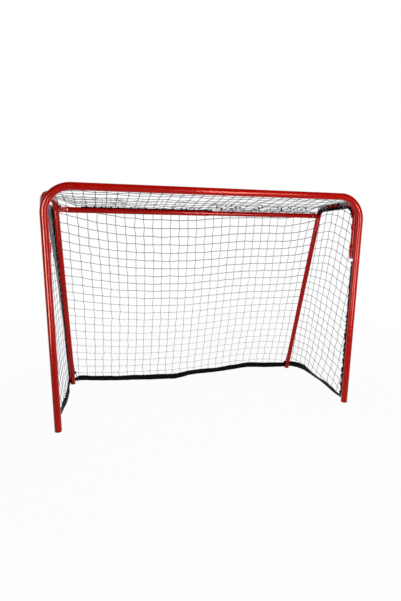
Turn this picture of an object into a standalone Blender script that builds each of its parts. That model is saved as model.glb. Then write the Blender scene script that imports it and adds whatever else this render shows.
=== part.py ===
"""Folding goal for small-sided play, standing open.

A front hoop makes the posts and the crossbar. Behind it stand two bent side arms. Each
arm's short front leg turns in two hinge eyes on the back of its post, so the arms fold
in behind the hoop. The rear bar joins the arms and is two tubes, one sliding in the
other, so that it shortens as the arms come in. A net lies over the arms, laced to them
and to the posts, with a flat strap along its lower edge.

X runs along the crossbar, Y from the mouth to the back and Z up from the floor.
"""
import math

import bmesh
import bpy
from mathutils import Matrix, Vector

# Front hoop
GOAL_WIDTH = 1.600
GOAL_HEIGHT = 1.150
POST_DIAMETER = 0.034
CORNER_RADIUS = 0.120
TUBE_WALL = 0.0015

# Side arms, measured in each arm's own plane from its hinge line
ARM_DIAMETER = 0.030
TOP_RUN_DROP = 0.028
FRONT_LEG_LENGTH = 0.285
FRONT_BEND_RADIUS = 0.070
REAR_BEND_RADIUS = 0.060
BAR_REACH = 0.336
FOOT_REACH = 0.615
TOE_IN = math.radians(2.5)

# Hinges on the posts, with their heights above the end of the arm's front leg
HINGE_STEPS = {"upper": 0.165, "lower": 0.050}
HINGE_EYE_HEIGHT = 0.026
HINGE_EYE_WALL = 0.003
HINGE_CLEARANCE = 0.0006
HINGE_WEB_WIDTH = 0.022
COLLAR_HEIGHT = 0.010

# Rear bar and its end joints. Its outer tube ends past the middle of the goal.
BAR_DROP = 0.040
BAR_OUTER_DIAMETER = 0.030
BAR_WALL = 0.0012
BAR_SLIDE_CLEARANCE = 0.0005
BAR_MOUTH_PAST_MIDDLE = 0.064
BAR_OVERLAP = 0.148
PIN_INSET = 0.040
BOLT_DIAMETER = 0.008
BOLT_CLEARANCE = 0.0005
BOLT_HEAD_HEIGHT = 0.005
HEX_ACROSS_CORNERS = 0.015
BOLT_RECESS_DIAMETER = 0.017
BOLT_RECESS_DEPTH = 0.004
LUG_THICKNESS = 0.010
LUG_STUB_RADIUS = 0.0135
LUG_STUB_GAP = 0.0015
EAR_THICKNESS = 0.008
EAR_WIDTH = 0.026
FORK_BODY_START = 0.020
FORK_BODY_LENGTH = 0.012
FORK_STEM_LENGTH = 0.025

# Lock screw near the mouth of the outer bar
LOCK_FROM_MOUTH = 0.034
LOCK_SCREW_DIAMETER = 0.006
LOCK_BOSS_DIAMETER = 0.016
LOCK_BOSS_HEIGHT = 0.006
LOCK_KNOB_DIAMETER = 0.018
LOCK_KNOB_HEIGHT = 0.008
LOCK_KNOB_FLUTES = 8
LOCK_FLUTE_RADIUS = 0.002

# End plugs
PLUG_FLANGE = 0.004
PLUG_ROUNDING = 0.0015
PLUG_STEM_LENGTH = 0.025
PLUG_CLEARANCE = 0.0005

# Net, lacing and strap
TWINE = 0.003
LACE_DIAMETER = 0.0036
LACE_POINTS = 8
ARM_LACE_TURNS = 6
POST_LACE_TURNS = 12
POST_LACE_LOW = 0.055
POST_LACE_TO_LEG = 0.020
FOOT_TIE_TURNS = 2
FOOT_TIE_PITCH = 0.007
FOOT_TIE_HEIGHT = 0.062
NET_COLUMNS = 12
TOP_NET_ROWS = 3
BACK_NET_ROWS = 8
SIDE_NET_COLUMNS = 4
SIDE_NET_ROWS = 8
STRAP_HEIGHT = 0.035
STRAP_THICKNESS = 0.002
STRAP_FLOOR_GAP = 0.004

# How the back hangs: it sags inward below the rear bar, and its lower edge is drawn forward
# most at one share of its width, from shares before and after that.
NET_SAG = 0.045
HEM_PULL = 0.055
HEM_PULL_X = -0.091
HEM_PULL_LEFT = 0.454
HEM_PULL_RIGHT = 0.182

# Gap between two pieces that touch, and the smoothness of round work
SEAT_GAP = 0.0003
TUBE_RESOLUTION = 8
TUBE_SIDES = 4 + 2 * TUBE_RESOLUTION
BAR_RESOLUTION = 10
BAR_SIDES = 4 + 2 * BAR_RESOLUTION
BOLT_SIDES = 16
BEND_STEPS = 8

# Sizes that follow from those above
POST_RADIUS = POST_DIAMETER / 2
ARM_RADIUS = ARM_DIAMETER / 2
BAR_RADIUS = BAR_OUTER_DIAMETER / 2
BAR_INNER_RADIUS = BAR_RADIUS - BAR_WALL - BAR_SLIDE_CLEARANCE
CROSSBAR_HEIGHT = GOAL_HEIGHT - POST_RADIUS
HINGE_X = GOAL_WIDTH / 2 - POST_RADIUS
HINGE_BORE_RADIUS = ARM_RADIUS + HINGE_CLEARANCE
HINGE_EYE_RADIUS = HINGE_BORE_RADIUS + HINGE_EYE_WALL
HINGE_Y = POST_RADIUS + SEAT_GAP + HINGE_EYE_RADIUS
TOP_RUN_HEIGHT = CROSSBAR_HEIGHT - TOP_RUN_DROP
LEG_END_HEIGHT = TOP_RUN_HEIGHT - FRONT_LEG_LENGTH
HINGE_HEIGHTS = {level: LEG_END_HEIGHT + step for level, step in HINGE_STEPS.items()}
BAR_HEIGHT = TOP_RUN_HEIGHT - BAR_DROP
LEG_SLOPE = math.atan2(FOOT_REACH - BAR_REACH, BAR_HEIGHT)
LACE_RADIUS = LACE_DIAMETER / 2
ARM_LACE_RADIUS = (ARM_RADIUS + SEAT_GAP + LACE_RADIUS) / math.cos(math.pi / LACE_POINTS)
NET_OFFSET = ARM_LACE_RADIUS + LACE_RADIUS + SEAT_GAP
STRAP_TOP = STRAP_FLOOR_GAP + STRAP_HEIGHT

# The back of the net is a plane behind both rear legs. It leans by the legs' slope as
# seen square to the crossbar.
BACK_SLOPE = math.atan(math.tan(LEG_SLOPE) * math.cos(TOE_IN))
FOOT_Y = HINGE_Y + FOOT_REACH * math.cos(TOE_IN)
STRAP_LOW_ALONG = STRAP_FLOOR_GAP / math.cos(BACK_SLOPE)
REARMOST_Y = (FOOT_Y + NET_OFFSET / math.cos(BACK_SLOPE) - STRAP_LOW_ALONG * math.sin(BACK_SLOPE)
              + STRAP_THICKNESS * math.cos(BACK_SLOPE))

# The origin is under the middle of the whole goal, so the posts stand at this Y.
POST_Y = (POST_RADIUS - REARMOST_Y) / 2

SIDES = {"left": -1, "right": 1}


def make_material(name, colour, roughness, metallic=0.0):
    """Return a Principled material with one plain colour."""
    material = bpy.data.materials.new(name)
    material.use_nodes = True
    shader = material.node_tree.nodes["Principled BSDF"]
    shader.inputs["Base Color"].default_value = (*colour, 1.0)
    shader.inputs["Roughness"].default_value = roughness
    shader.inputs["Metallic"].default_value = metallic
    material.diffuse_color = (*colour, 1.0)
    return material


def place(obj, parent=None, location=(0, 0, 0), rotation=(0, 0, 0), collection=None):
    """Link an object, parent it and put it at its place."""
    (collection or goal).objects.link(obj)
    obj.parent = parent
    obj.location = location
    obj.rotation_euler = rotation
    return obj


def axis_empty(name, parent, location, turn):
    """Return an empty that stands on a joint's vertical axis."""
    empty = bpy.data.objects.new(name, None)
    empty.empty_display_size = 0.1
    return place(empty, parent, location, (0, 0, turn))


def smooth(mesh):
    """Shade a mesh smooth, with its corners sharp."""
    mesh.shade_smooth()
    mesh.set_sharp_from_angle(angle=math.radians(35))


def rounded_path(corners, radii):
    """Return points along straight runs whose inner corners are arcs."""
    points = [corners[0]]
    for before, corner, after, radius in zip(corners, corners[1:], corners[2:], radii):
        back = (before - corner).normalized()
        ahead = (after - corner).normalized()
        turn = math.pi - back.angle(ahead)
        centre = corner + (back + ahead).normalized() * (radius / math.cos(turn / 2))
        arc_start = corner + back * (radius * math.tan(turn / 2)) - centre
        axis = back.cross(ahead).normalized()
        for step in range(BEND_STEPS + 1):
            spin = Matrix.Rotation(-turn * step / BEND_STEPS, 3, axis)
            points.append(centre + spin @ arc_start)
    points.append(corners[-1])
    return points


def cord_curve(name, points, radius, resolution, filled=True):
    """Return curve data for a round bar or cord through the points."""
    curve = bpy.data.curves.new(name, "CURVE")
    curve.dimensions = "3D"
    curve.bevel_depth = radius
    curve.bevel_resolution = resolution
    curve.use_fill_caps = filled
    spline = curve.splines.new("POLY")
    spline.points.add(len(points) - 1)
    for spline_point, point in zip(spline.points, points):
        spline_point.co = (*point, 1.0)
    return curve


def mesh_from(guide):
    """Turn a guide object into a welded mesh and remove the guide."""
    bpy.context.view_layer.update()
    evaluated = guide.evaluated_get(bpy.context.evaluated_depsgraph_get())
    mesh = bpy.data.meshes.new_from_object(evaluated)
    bpy.data.objects.remove(guide)
    bm = bmesh.new()
    bm.from_mesh(mesh)
    bmesh.ops.remove_doubles(bm, verts=bm.verts, dist=0.00001)
    bm.to_mesh(mesh)
    bm.free()
    return mesh


def hollow_tube(name, points, radius, wall, resolution, material, parent=None):
    """Make an open-ended tube along the points."""
    run = cord_curve(name, points, radius, resolution, filled=False)
    guide = place(bpy.data.objects.new(name + "_run", run), collection=cutters)
    skin = guide.modifiers.new("wall", "SOLIDIFY")
    skin.thickness = wall
    skin.offset = -1
    skin.use_even_offset = True
    mesh = mesh_from(guide)
    mesh.name = name
    mesh.materials.clear()
    mesh.materials.append(material)
    smooth(mesh)
    return place(bpy.data.objects.new(name, mesh), parent)


def solid_bar(name, points, radius, resolution):
    """Return a mesh of a solid round bar along the points, for cutting."""
    run = cord_curve(name, points, radius, resolution)
    return mesh_from(place(bpy.data.objects.new(name + "_run", run), collection=cutters))


def cylinder_mesh(name, radius, length, sides, axis="Z", centre=(0, 0, 0)):
    """Return a cylinder mesh about an axis through a centre."""
    turn = {"X": Matrix.Rotation(math.pi / 2, 4, "Y"), "Y": Matrix.Rotation(-math.pi / 2, 4, "X"),
            "Z": Matrix.Identity(4)}[axis]
    bm = bmesh.new()
    bmesh.ops.create_cone(bm, cap_ends=True, segments=sides, radius1=radius, radius2=radius,
                          depth=length, matrix=Matrix.Translation(centre) @ turn)
    return mesh_of(bm, name)


def box_mesh(name, size, centre):
    """Return a box mesh of a size about a centre."""
    bm = bmesh.new()
    bmesh.ops.create_cube(bm, matrix=Matrix.Translation(centre) @ Matrix.Diagonal((*size, 1)))
    return mesh_of(bm, name)


def mesh_of(bm, name):
    """Write a bmesh to a new mesh and free it."""
    mesh = bpy.data.meshes.new(name)
    bm.to_mesh(mesh)
    bm.free()
    return mesh


def piece(name, mesh, material, parent=None, location=(0, 0, 0), rotation=(0, 0, 0)):
    """Make one visible piece of the goal from a mesh."""
    mesh.materials.append(material)
    smooth(mesh)
    return place(bpy.data.objects.new(name, mesh), parent, location, rotation)


def shape_with(target, mesh, operation):
    """Join, cut or keep a piece by a helper shape in the piece's own space."""
    helper = place(bpy.data.objects.new(mesh.name, mesh), target.parent, target.location,
                   target.rotation_euler, cutters)
    helper.hide_render = True
    helper.display_type = "WIRE"
    boolean = target.modifiers.new(mesh.name, "BOOLEAN")
    boolean.operation = operation
    boolean.object = helper
    boolean.solver = "EXACT"


def turned(name, profile, sides, material, parent=None, location=(0, 0, 0), rotation=(0, 0, 0),
           ring=False):
    """Turn a profile of radius and height about Z, listed from its top outwards and down."""
    bm = bmesh.new()
    corners = [bm.verts.new((radius, 0, height)) for radius, height in profile]
    for start, end in zip(corners, corners[1:]):
        bm.edges.new((start, end))
    if ring:
        bm.edges.new((corners[-1], corners[0]))
    obj = piece(name, mesh_of(bm, name), material, parent, location, rotation)
    screw = obj.modifiers.new("turn", "SCREW")
    screw.steps = sides
    screw.render_steps = sides
    screw.use_merge_vertices = True
    screw.merge_threshold = 0.00001
    return obj


def helix(start, end, radius, turns, handed):
    """Return the points of a helix about the line from start to end."""
    along = end - start
    across = along.cross(Vector((1, 0, 0))).normalized()
    up = along.cross(across).normalized()
    count = turns * LACE_POINTS
    points = []
    for step in range(count + 1):
        angle = handed * 2 * math.pi * step / LACE_POINTS
        arm = across * math.cos(angle) + up * math.sin(angle)
        points.append(start + along * (step / count) + arm * radius)
    return points


def least_gap(points):
    """Return the least gap between a lacing's cord and its next turns."""
    half_turn = LACE_POINTS // 2
    return min((points[i] - points[j]).length for i in range(len(points))
               for j in range(i + half_turn, len(points))) - LACE_DIAMETER


def lacing(name, start, end, radius, turns, handed, parent=None, location=(0, 0, 0)):
    """Wind a cord about the line from start to end."""
    points = helix(start, end, radius, turns, handed)
    print(name, "least gap to itself, mm:", round(least_gap(points) * 1000, 2))
    curve = cord_curve(name, points, LACE_RADIUS, 1)
    curve.materials.append(black_cord)
    return place(bpy.data.objects.new(name, curve), parent, location)


def leg_along(height):
    """Return how far behind its hinge line a rear leg's centre is at a height."""
    return FOOT_REACH - height * math.tan(LEG_SLOPE)


def arm_space(side, along, inward, height):
    """Return a point in an arm's own space, from how far back and how far inward it is."""
    return Vector((-SIDES[side] * inward, along, height))


def arm_path(side, below_floor):
    """Return the centre line of an arm, from its front leg's end over to its foot."""
    top_corner = leg_along(TOP_RUN_HEIGHT)
    corners = [(0, LEG_END_HEIGHT), (0, TOP_RUN_HEIGHT), (top_corner, TOP_RUN_HEIGHT),
               (leg_along(-below_floor), -below_floor)]
    points = [arm_space(side, along, 0, height) for along, height in corners]
    return rounded_path(points, [FRONT_BEND_RADIUS, REAR_BEND_RADIUS])


def make_front_hoop():
    """Make the posts and crossbar in one bent tube, with a plug in each foot."""
    corners = [Vector((-HINGE_X, POST_Y, PLUG_FLANGE)), Vector((-HINGE_X, POST_Y, CROSSBAR_HEIGHT)),
               Vector((HINGE_X, POST_Y, CROSSBAR_HEIGHT)), Vector((HINGE_X, POST_Y, PLUG_FLANGE))]
    path = rounded_path(corners, [CORNER_RADIUS, CORNER_RADIUS])
    hollow_tube("front_frame", path, POST_RADIUS, TUBE_WALL, TUBE_RESOLUTION, red_paint)
    for side, sign in SIDES.items():
        end_plug(side + "_front_foot", POST_RADIUS, location=(sign * HINGE_X, POST_Y, 0))


def end_plug(name, radius, parent=None, location=(0, 0, 0)):
    """Make a plug that closes a tube's lower end, with its flat face down at the location."""
    stem = radius - TUBE_WALL - PLUG_CLEARANCE
    flange_top = PLUG_FLANGE - SEAT_GAP
    profile = [(0, PLUG_FLANGE + PLUG_STEM_LENGTH), (stem, PLUG_FLANGE + PLUG_STEM_LENGTH),
               (stem, flange_top), (radius, flange_top), (radius, PLUG_ROUNDING),
               (radius - PLUG_ROUNDING, 0), (0, 0)]
    return turned(name, profile, TUBE_SIDES, red_plastic, parent, location)


def make_hinge_eyes():
    """Make the two eyes on the back of each post that an arm's front leg turns in."""
    for side, sign in SIDES.items():
        for level, height in HINGE_HEIGHTS.items():
            name = f"{side}_{level}_hinge"
            eye = cylinder_mesh(name, HINGE_EYE_RADIUS, HINGE_EYE_HEIGHT, BAR_SIDES)
            bracket = piece(name, eye, red_paint, location=(sign * HINGE_X, POST_Y + HINGE_Y, height))
            web = (HINGE_WEB_WIDTH, HINGE_Y, HINGE_EYE_HEIGHT)
            shape_with(bracket, box_mesh(name + "_web", web, (0, -HINGE_Y / 2, 0)), "UNION")
            through = 2 * HINGE_EYE_HEIGHT
            shape_with(bracket, cylinder_mesh(name + "_bore", HINGE_BORE_RADIUS, through, BAR_SIDES),
                       "DIFFERENCE")
            saddle = POST_RADIUS + SEAT_GAP
            shape_with(bracket, cylinder_mesh(name + "_saddle", saddle, through, BAR_SIDES,
                                              centre=(0, -HINGE_Y, 0)), "DIFFERENCE")


def make_arm(side, hinge):
    """Make one side arm with its collars, plugs, lug, bolt, lacing, net and strap."""
    tube = hollow_tube(side + "_arm", arm_path(side, PLUG_FLANGE), ARM_RADIUS, TUBE_WALL,
                       TUBE_RESOLUTION, red_paint, hinge)
    foot = arm_space(side, FOOT_REACH, 0, 0)
    floor_block = (3 * ARM_DIAMETER, 3 * ARM_DIAMETER, ARM_DIAMETER)
    under_foot = foot + Vector((0, 0, PLUG_FLANGE - ARM_RADIUS))
    shape_with(tube, box_mesh(side + "_arm_floor", floor_block, under_foot), "DIFFERENCE")
    make_collars(side, hinge)
    end_plug(side + "_leg_plug", ARM_RADIUS, hinge, (0, 0, LEG_END_HEIGHT - PLUG_FLANGE))
    make_rear_foot(side, hinge)
    make_bar_lug(side, hinge)
    make_bar_bolt(side, hinge)
    make_arm_lacing(side, hinge)
    make_side_net(side, hinge)
    make_side_strap(side, hinge)


def make_collars(side, hinge):
    """Make the rings on an arm's leg that bear on the lower hinge eye from above and below."""
    bore = (ARM_RADIUS + SEAT_GAP) / math.cos(math.pi / TUBE_SIDES)
    half = COLLAR_HEIGHT / 2
    profile = [(bore, half), (HINGE_EYE_RADIUS, half), (HINGE_EYE_RADIUS, -half), (bore, -half)]
    reach = HINGE_EYE_HEIGHT / 2 + SEAT_GAP + half
    for level, step in {"top": reach, "under": -reach}.items():
        turned(f"{side}_{level}_collar", profile, TUBE_SIDES, red_paint, hinge,
               (0, 0, HINGE_HEIGHTS["lower"] + step), ring=True)


def slanted_cylinder(name, side, radius, low, high):
    """Return a cylinder along a rear leg, cut level at two heights."""
    middle = arm_space(side, leg_along((low + high) / 2), 0, (low + high) / 2)
    lean = Matrix.Rotation(LEG_SLOPE, 4, "X")
    bm = bmesh.new()
    bmesh.ops.create_cone(bm, cap_ends=True, segments=TUBE_SIDES, radius1=radius, radius2=radius,
                          depth=(high - low) + 4 * radius, matrix=Matrix.Translation(middle) @ lean)
    for height, upward in ((high, 1), (low, -1)):
        cut = bmesh.ops.bisect_plane(bm, geom=bm.verts[:] + bm.edges[:] + bm.faces[:],
                                     plane_co=(0, 0, height), plane_no=(0, 0, upward),
                                     clear_outer=True)
        rim = [item for item in cut["geom_cut"] if isinstance(item, bmesh.types.BMEdge)]
        bmesh.ops.edgeloop_fill(bm, edges=rim)
    bmesh.ops.recalc_face_normals(bm, faces=bm.faces)
    return mesh_of(bm, name)


def make_rear_foot(side, hinge):
    """Make the plug in a sloping rear leg, level underneath."""
    name = side + "_rear_foot"
    flange = slanted_cylinder(name, side, ARM_RADIUS, 0, PLUG_FLANGE - SEAT_GAP)
    plug = piece(name, flange, red_plastic, hinge)
    stem_radius = ARM_RADIUS - TUBE_WALL - PLUG_CLEARANCE
    stem = slanted_cylinder(name + "_stem", side, stem_radius, PLUG_FLANGE / 2,
                            PLUG_FLANGE + PLUG_STEM_LENGTH)
    shape_with(plug, stem, "UNION")


def make_bar_lug(side, hinge):
    """Make the stub and flat lug on an arm's inner side that carry the rear bar's bolt."""
    name = side + "_bar_lug"
    pin = arm_space(side, BAR_REACH, PIN_INSET, BAR_HEIGHT)
    lug = piece(name, cylinder_mesh(name, EAR_WIDTH / 2, LUG_THICKNESS, BAR_SIDES, centre=pin),
                red_paint, hinge)
    neck = box_mesh(name + "_neck", (PIN_INSET, EAR_WIDTH, LUG_THICKNESS),
                    arm_space(side, BAR_REACH, PIN_INSET / 2, BAR_HEIGHT))
    shape_with(lug, neck, "UNION")
    stub_length = PIN_INSET - EAR_WIDTH / 2 - LUG_STUB_GAP
    stub = cylinder_mesh(name + "_stub", LUG_STUB_RADIUS, stub_length, BAR_SIDES, "X",
                         arm_space(side, BAR_REACH, stub_length / 2, BAR_HEIGHT))
    shape_with(lug, stub, "UNION")
    hole = cylinder_mesh(name + "_hole", BOLT_DIAMETER / 2 + BOLT_CLEARANCE, 2 * LUG_THICKNESS,
                         BOLT_SIDES, centre=pin)
    shape_with(lug, hole, "DIFFERENCE")
    arm_bar = solid_bar(name + "_saddle", arm_path(side, 0), ARM_RADIUS + SEAT_GAP, TUBE_RESOLUTION)
    shape_with(lug, arm_bar, "DIFFERENCE")


def make_bar_bolt(side, hinge):
    """Make the bolt through a lug and its fork, and the nut, in recesses in the fork's ears."""
    pin = arm_space(side, BAR_REACH, PIN_INSET, BAR_HEIGHT)
    ear_top = LUG_THICKNESS / 2 + BOLT_CLEARANCE + EAR_THICKNESS
    seat = ear_top - BOLT_RECESS_DEPTH + SEAT_GAP
    shank_low = -seat - BOLT_HEAD_HEIGHT - TUBE_WALL
    name = side + "_bar_bolt"
    shank = cylinder_mesh(name, BOLT_DIAMETER / 2, seat + BOLT_HEAD_HEIGHT / 2 - shank_low, BOLT_SIDES,
                          centre=(0, 0, (seat + BOLT_HEAD_HEIGHT / 2 + shank_low) / 2))
    bolt = piece(name, shank, zinc, hinge, pin)
    head = cylinder_mesh(name + "_head", HEX_ACROSS_CORNERS / 2, BOLT_HEAD_HEIGHT, 6,
                         centre=(0, 0, seat + BOLT_HEAD_HEIGHT / 2))
    shape_with(bolt, head, "UNION")
    name = side + "_bar_nut"
    nut = piece(name, cylinder_mesh(name, HEX_ACROSS_CORNERS / 2, BOLT_HEAD_HEIGHT, 6), zinc, hinge,
                pin - Vector((0, 0, seat + BOLT_HEAD_HEIGHT / 2)))
    thread = cylinder_mesh(name + "_thread", BOLT_DIAMETER / 2 + SEAT_GAP, 2 * BOLT_HEAD_HEIGHT,
                           BOLT_SIDES)
    shape_with(nut, thread, "DIFFERENCE")


def make_arm_lacing(side, hinge):
    """Wind the net's cord round an arm's top run, and tie it round the rear leg."""
    margin = 2 * LACE_DIAMETER
    bend_end = leg_along(TOP_RUN_HEIGHT) - REAR_BEND_RADIUS * math.tan((math.pi / 2 - LEG_SLOPE) / 2)
    front = arm_space(side, FRONT_BEND_RADIUS + margin, 0, TOP_RUN_HEIGHT)
    rear = arm_space(side, bend_end - margin, 0, TOP_RUN_HEIGHT)
    lacing(side + "_arm_lacing", front, rear, ARM_LACE_RADIUS, ARM_LACE_TURNS, SIDES[side], hinge)
    low = FOOT_TIE_HEIGHT
    high = low + FOOT_TIE_TURNS * FOOT_TIE_PITCH
    lacing(side + "_foot_tie", arm_space(side, leg_along(low), 0, low),
           arm_space(side, leg_along(high), 0, high), ARM_LACE_RADIUS, FOOT_TIE_TURNS, SIDES[side],
           hinge)


def net_panel(name, columns, rows, where, parent=None):
    """Make a panel of square-section twine whose grid is put in place by a function.

    The function takes shares across and up the panel, from 0 to 1 each.
    """
    bm = bmesh.new()
    bmesh.ops.create_grid(bm, x_segments=columns, y_segments=rows, size=0.5)
    for vertex in bm.verts:
        vertex.co = where(vertex.co.x + 0.5, vertex.co.y + 0.5)
    panel = piece(name, mesh_of(bm, name), white_twine, parent)
    strands = panel.modifiers.new("twine", "WIREFRAME")
    strands.thickness = TWINE
    strands.offset = 0
    strands.use_even_offset = True
    strands.use_boundary = True
    return panel


def front_edge(height):
    """Return how far behind the hinge line an arm's tube is at a height, on its front side."""
    bend_low = TOP_RUN_HEIGHT - FRONT_BEND_RADIUS
    rise = max(0.0, height - bend_low)
    return FRONT_BEND_RADIUS - math.sqrt(max(0.0, FRONT_BEND_RADIUS ** 2 - rise ** 2))


def make_side_net(side, hinge):
    """Make the net on the outer side of an arm."""
    low = STRAP_TOP + TWINE / 2 + SEAT_GAP
    high = TOP_RUN_HEIGHT - ARM_RADIUS
    outward = -(NET_OFFSET + TWINE / 2)

    def where(across, up):
        height = low + (high - low) * up
        front = front_edge(height)
        return arm_space(side, front + (leg_along(height) - front) * across, outward, height)

    net_panel(side + "_net", SIDE_NET_COLUMNS, SIDE_NET_ROWS, where, hinge)


def make_side_strap(side, hinge):
    """Make the strap along the lower edge of a side net."""
    size = (STRAP_THICKNESS, leg_along(STRAP_TOP), STRAP_HEIGHT)
    centre = arm_space(side, size[1] / 2, -(NET_OFFSET + STRAP_THICKNESS / 2),
                       STRAP_FLOOR_GAP + STRAP_HEIGHT / 2)
    piece(side + "_strap", box_mesh(side + "_strap", size, centre), black_strap, hinge)


def back_point(across, height, out):
    """Return a point behind the rear legs, a distance out from the plane of their centres."""
    half_width = HINGE_X - leg_along(height) * math.sin(TOE_IN)
    behind = HINGE_Y + leg_along(height) * math.cos(TOE_IN) + out / math.cos(BACK_SLOPE)
    return Vector(((2 * across - 1) * half_width, POST_Y + behind, height))


def hem_pull(across):
    """Return how far forward the back's lower edge is drawn, at a share of its width."""
    x = back_point(across, STRAP_TOP, 0).x
    reach = HEM_PULL_LEFT if x < HEM_PULL_X else HEM_PULL_RIGHT
    share = max(0.0, 1 - abs(x - HEM_PULL_X) / reach)
    return HEM_PULL * share * share * (3 - 2 * share)


def back_hang(across, up):
    """Return how far forward the back of the net hangs. Its top row stays at the rear bar."""
    below_bar = min(1.0, up * BACK_NET_ROWS / (BACK_NET_ROWS - 1))
    sag = NET_SAG * math.sin(math.pi * across) * math.sin(math.pi * below_bar)
    return sag + hem_pull(across) * (1 - up) ** 2


def make_shared_net():
    """Make the top and back of the net, the strap along the back and the posts' lacing."""
    top_height = TOP_RUN_HEIGHT + NET_OFFSET + TWINE / 2
    front = POST_Y + POST_RADIUS + SEAT_GAP + TWINE / 2
    rear = back_point(0, top_height, NET_OFFSET + TWINE).y

    def on_top(across, up):
        y = front + (rear - front) * up
        half_width = HINGE_X - (y - POST_Y - HINGE_Y) * math.tan(TOE_IN)
        return Vector(((2 * across - 1) * half_width, y, top_height))

    net_panel("top_net", NET_COLUMNS, TOP_NET_ROWS, on_top)
    low = STRAP_TOP + TWINE / 2 + SEAT_GAP
    high = top_height - TWINE - SEAT_GAP

    def behind(across, up):
        flat = back_point(across, low + (high - low) * up, NET_OFFSET + TWINE / 2)
        return flat - Vector((0, back_hang(across, up), 0))

    net_panel("back_net", NET_COLUMNS, BACK_NET_ROWS, behind)
    make_back_strap()
    for side, sign in SIDES.items():
        centre = (sign * HINGE_X, POST_Y + HINGE_Y, 0)
        lacing(side + "_post_lacing", Vector((0, 0, POST_LACE_LOW)),
               Vector((0, 0, LEG_END_HEIGHT - PLUG_FLANGE - POST_LACE_TO_LEG)),
               HINGE_EYE_RADIUS - LACE_RADIUS, POST_LACE_TURNS, sign, location=centre)


def make_back_strap():
    """Make the strap along the lower edge of the back net, leaning and drawn forward with it."""
    half_width = HINGE_X - FOOT_REACH * math.sin(TOE_IN) + ARM_RADIUS
    slant_height = STRAP_HEIGHT / math.cos(BACK_SLOPE) - TWINE / 2 * math.tan(BACK_SLOPE)
    rise = Vector((0, -math.sin(BACK_SLOPE), math.cos(BACK_SLOPE))) * slant_height
    depth = Vector((0, math.cos(BACK_SLOPE), math.sin(BACK_SLOPE))) * STRAP_THICKNESS
    bm = bmesh.new()
    rings = []
    for column in range(NET_COLUMNS + 1):
        across = column / NET_COLUMNS
        x = back_point(across, STRAP_TOP, 0).x
        if column in (0, NET_COLUMNS):
            x = math.copysign(half_width, x)
        corner = Vector((x, -hem_pull(across), 0))
        rings.append([bm.verts.new(corner + step) for step in (0 * rise, depth, depth + rise, rise)])
    for ring, following in zip(rings, rings[1:]):
        for a, b in ((0, 1), (1, 2), (2, 3), (3, 0)):
            bm.faces.new((ring[a], following[a], following[b], ring[b]))
    bm.faces.new(rings[0])
    bm.faces.new(rings[-1])
    bmesh.ops.recalc_face_normals(bm, faces=bm.faces)
    piece("back_strap", mesh_of(bm, "back_strap"), black_strap, None,
          back_point(0.5, STRAP_FLOOR_GAP, NET_OFFSET))


def make_fork(name, radius, inward, pivot):
    """Make a bar's end fork round its bolt. Inward is 1 where the bar runs to +X, or -1."""
    body_end = FORK_BODY_START + FORK_BODY_LENGTH
    body_middle = FORK_BODY_START + FORK_BODY_LENGTH / 2
    body = cylinder_mesh(name, radius, FORK_BODY_LENGTH, BAR_SIDES, "X",
                         (inward * body_middle, 0, 0))
    fork = piece(name, body, red_paint, pivot)
    stem_start = body_end - FORK_BODY_LENGTH / 2
    stem_end = body_end + FORK_STEM_LENGTH
    stem = cylinder_mesh(name + "_stem", radius - BAR_WALL - PLUG_CLEARANCE, stem_end - stem_start,
                         BAR_SIDES, "X", (inward * (stem_start + stem_end) / 2, 0, 0))
    shape_with(fork, stem, "UNION")
    ear_height = LUG_THICKNESS + 2 * BOLT_CLEARANCE + 2 * EAR_THICKNESS
    eye = cylinder_mesh(name + "_eye", EAR_WIDTH / 2, ear_height, BAR_SIDES)
    shape_with(fork, eye, "UNION")
    ears = box_mesh(name + "_ears", (body_middle, EAR_WIDTH, ear_height),
                    (inward * body_middle / 2, 0, 0))
    shape_with(fork, ears, "UNION")
    slot_start = -EAR_WIDTH
    slot_size = (FORK_BODY_START - slot_start, 2 * EAR_WIDTH, LUG_THICKNESS + 2 * BOLT_CLEARANCE)
    slot = box_mesh(name + "_slot", slot_size, (inward * (FORK_BODY_START + slot_start) / 2, 0, 0))
    shape_with(fork, slot, "DIFFERENCE")
    hole = cylinder_mesh(name + "_hole", BOLT_DIAMETER / 2 + BOLT_CLEARANCE, 2 * ear_height,
                         BOLT_SIDES)
    shape_with(fork, hole, "DIFFERENCE")
    for level, end in {"top": 1, "under": -1}.items():
        recess = cylinder_mesh(f"{name}_{level}_recess", BOLT_RECESS_DIAMETER / 2,
                               2 * BOLT_RECESS_DEPTH, BAR_SIDES, centre=(0, 0, end * ear_height / 2))
        shape_with(fork, recess, "DIFFERENCE")


def bar_run(inward, past_middle):
    """Return the two ends of a bar tube, measured from its bolt."""
    start = FORK_BODY_START + FORK_BODY_LENGTH + SEAT_GAP
    bolt_x = HINGE_X - BAR_REACH * math.sin(TOE_IN) - PIN_INSET * math.cos(TOE_IN)
    return [Vector((inward * start, 0, 0)), Vector((inward * (bolt_x + past_middle), 0, 0))]


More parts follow.
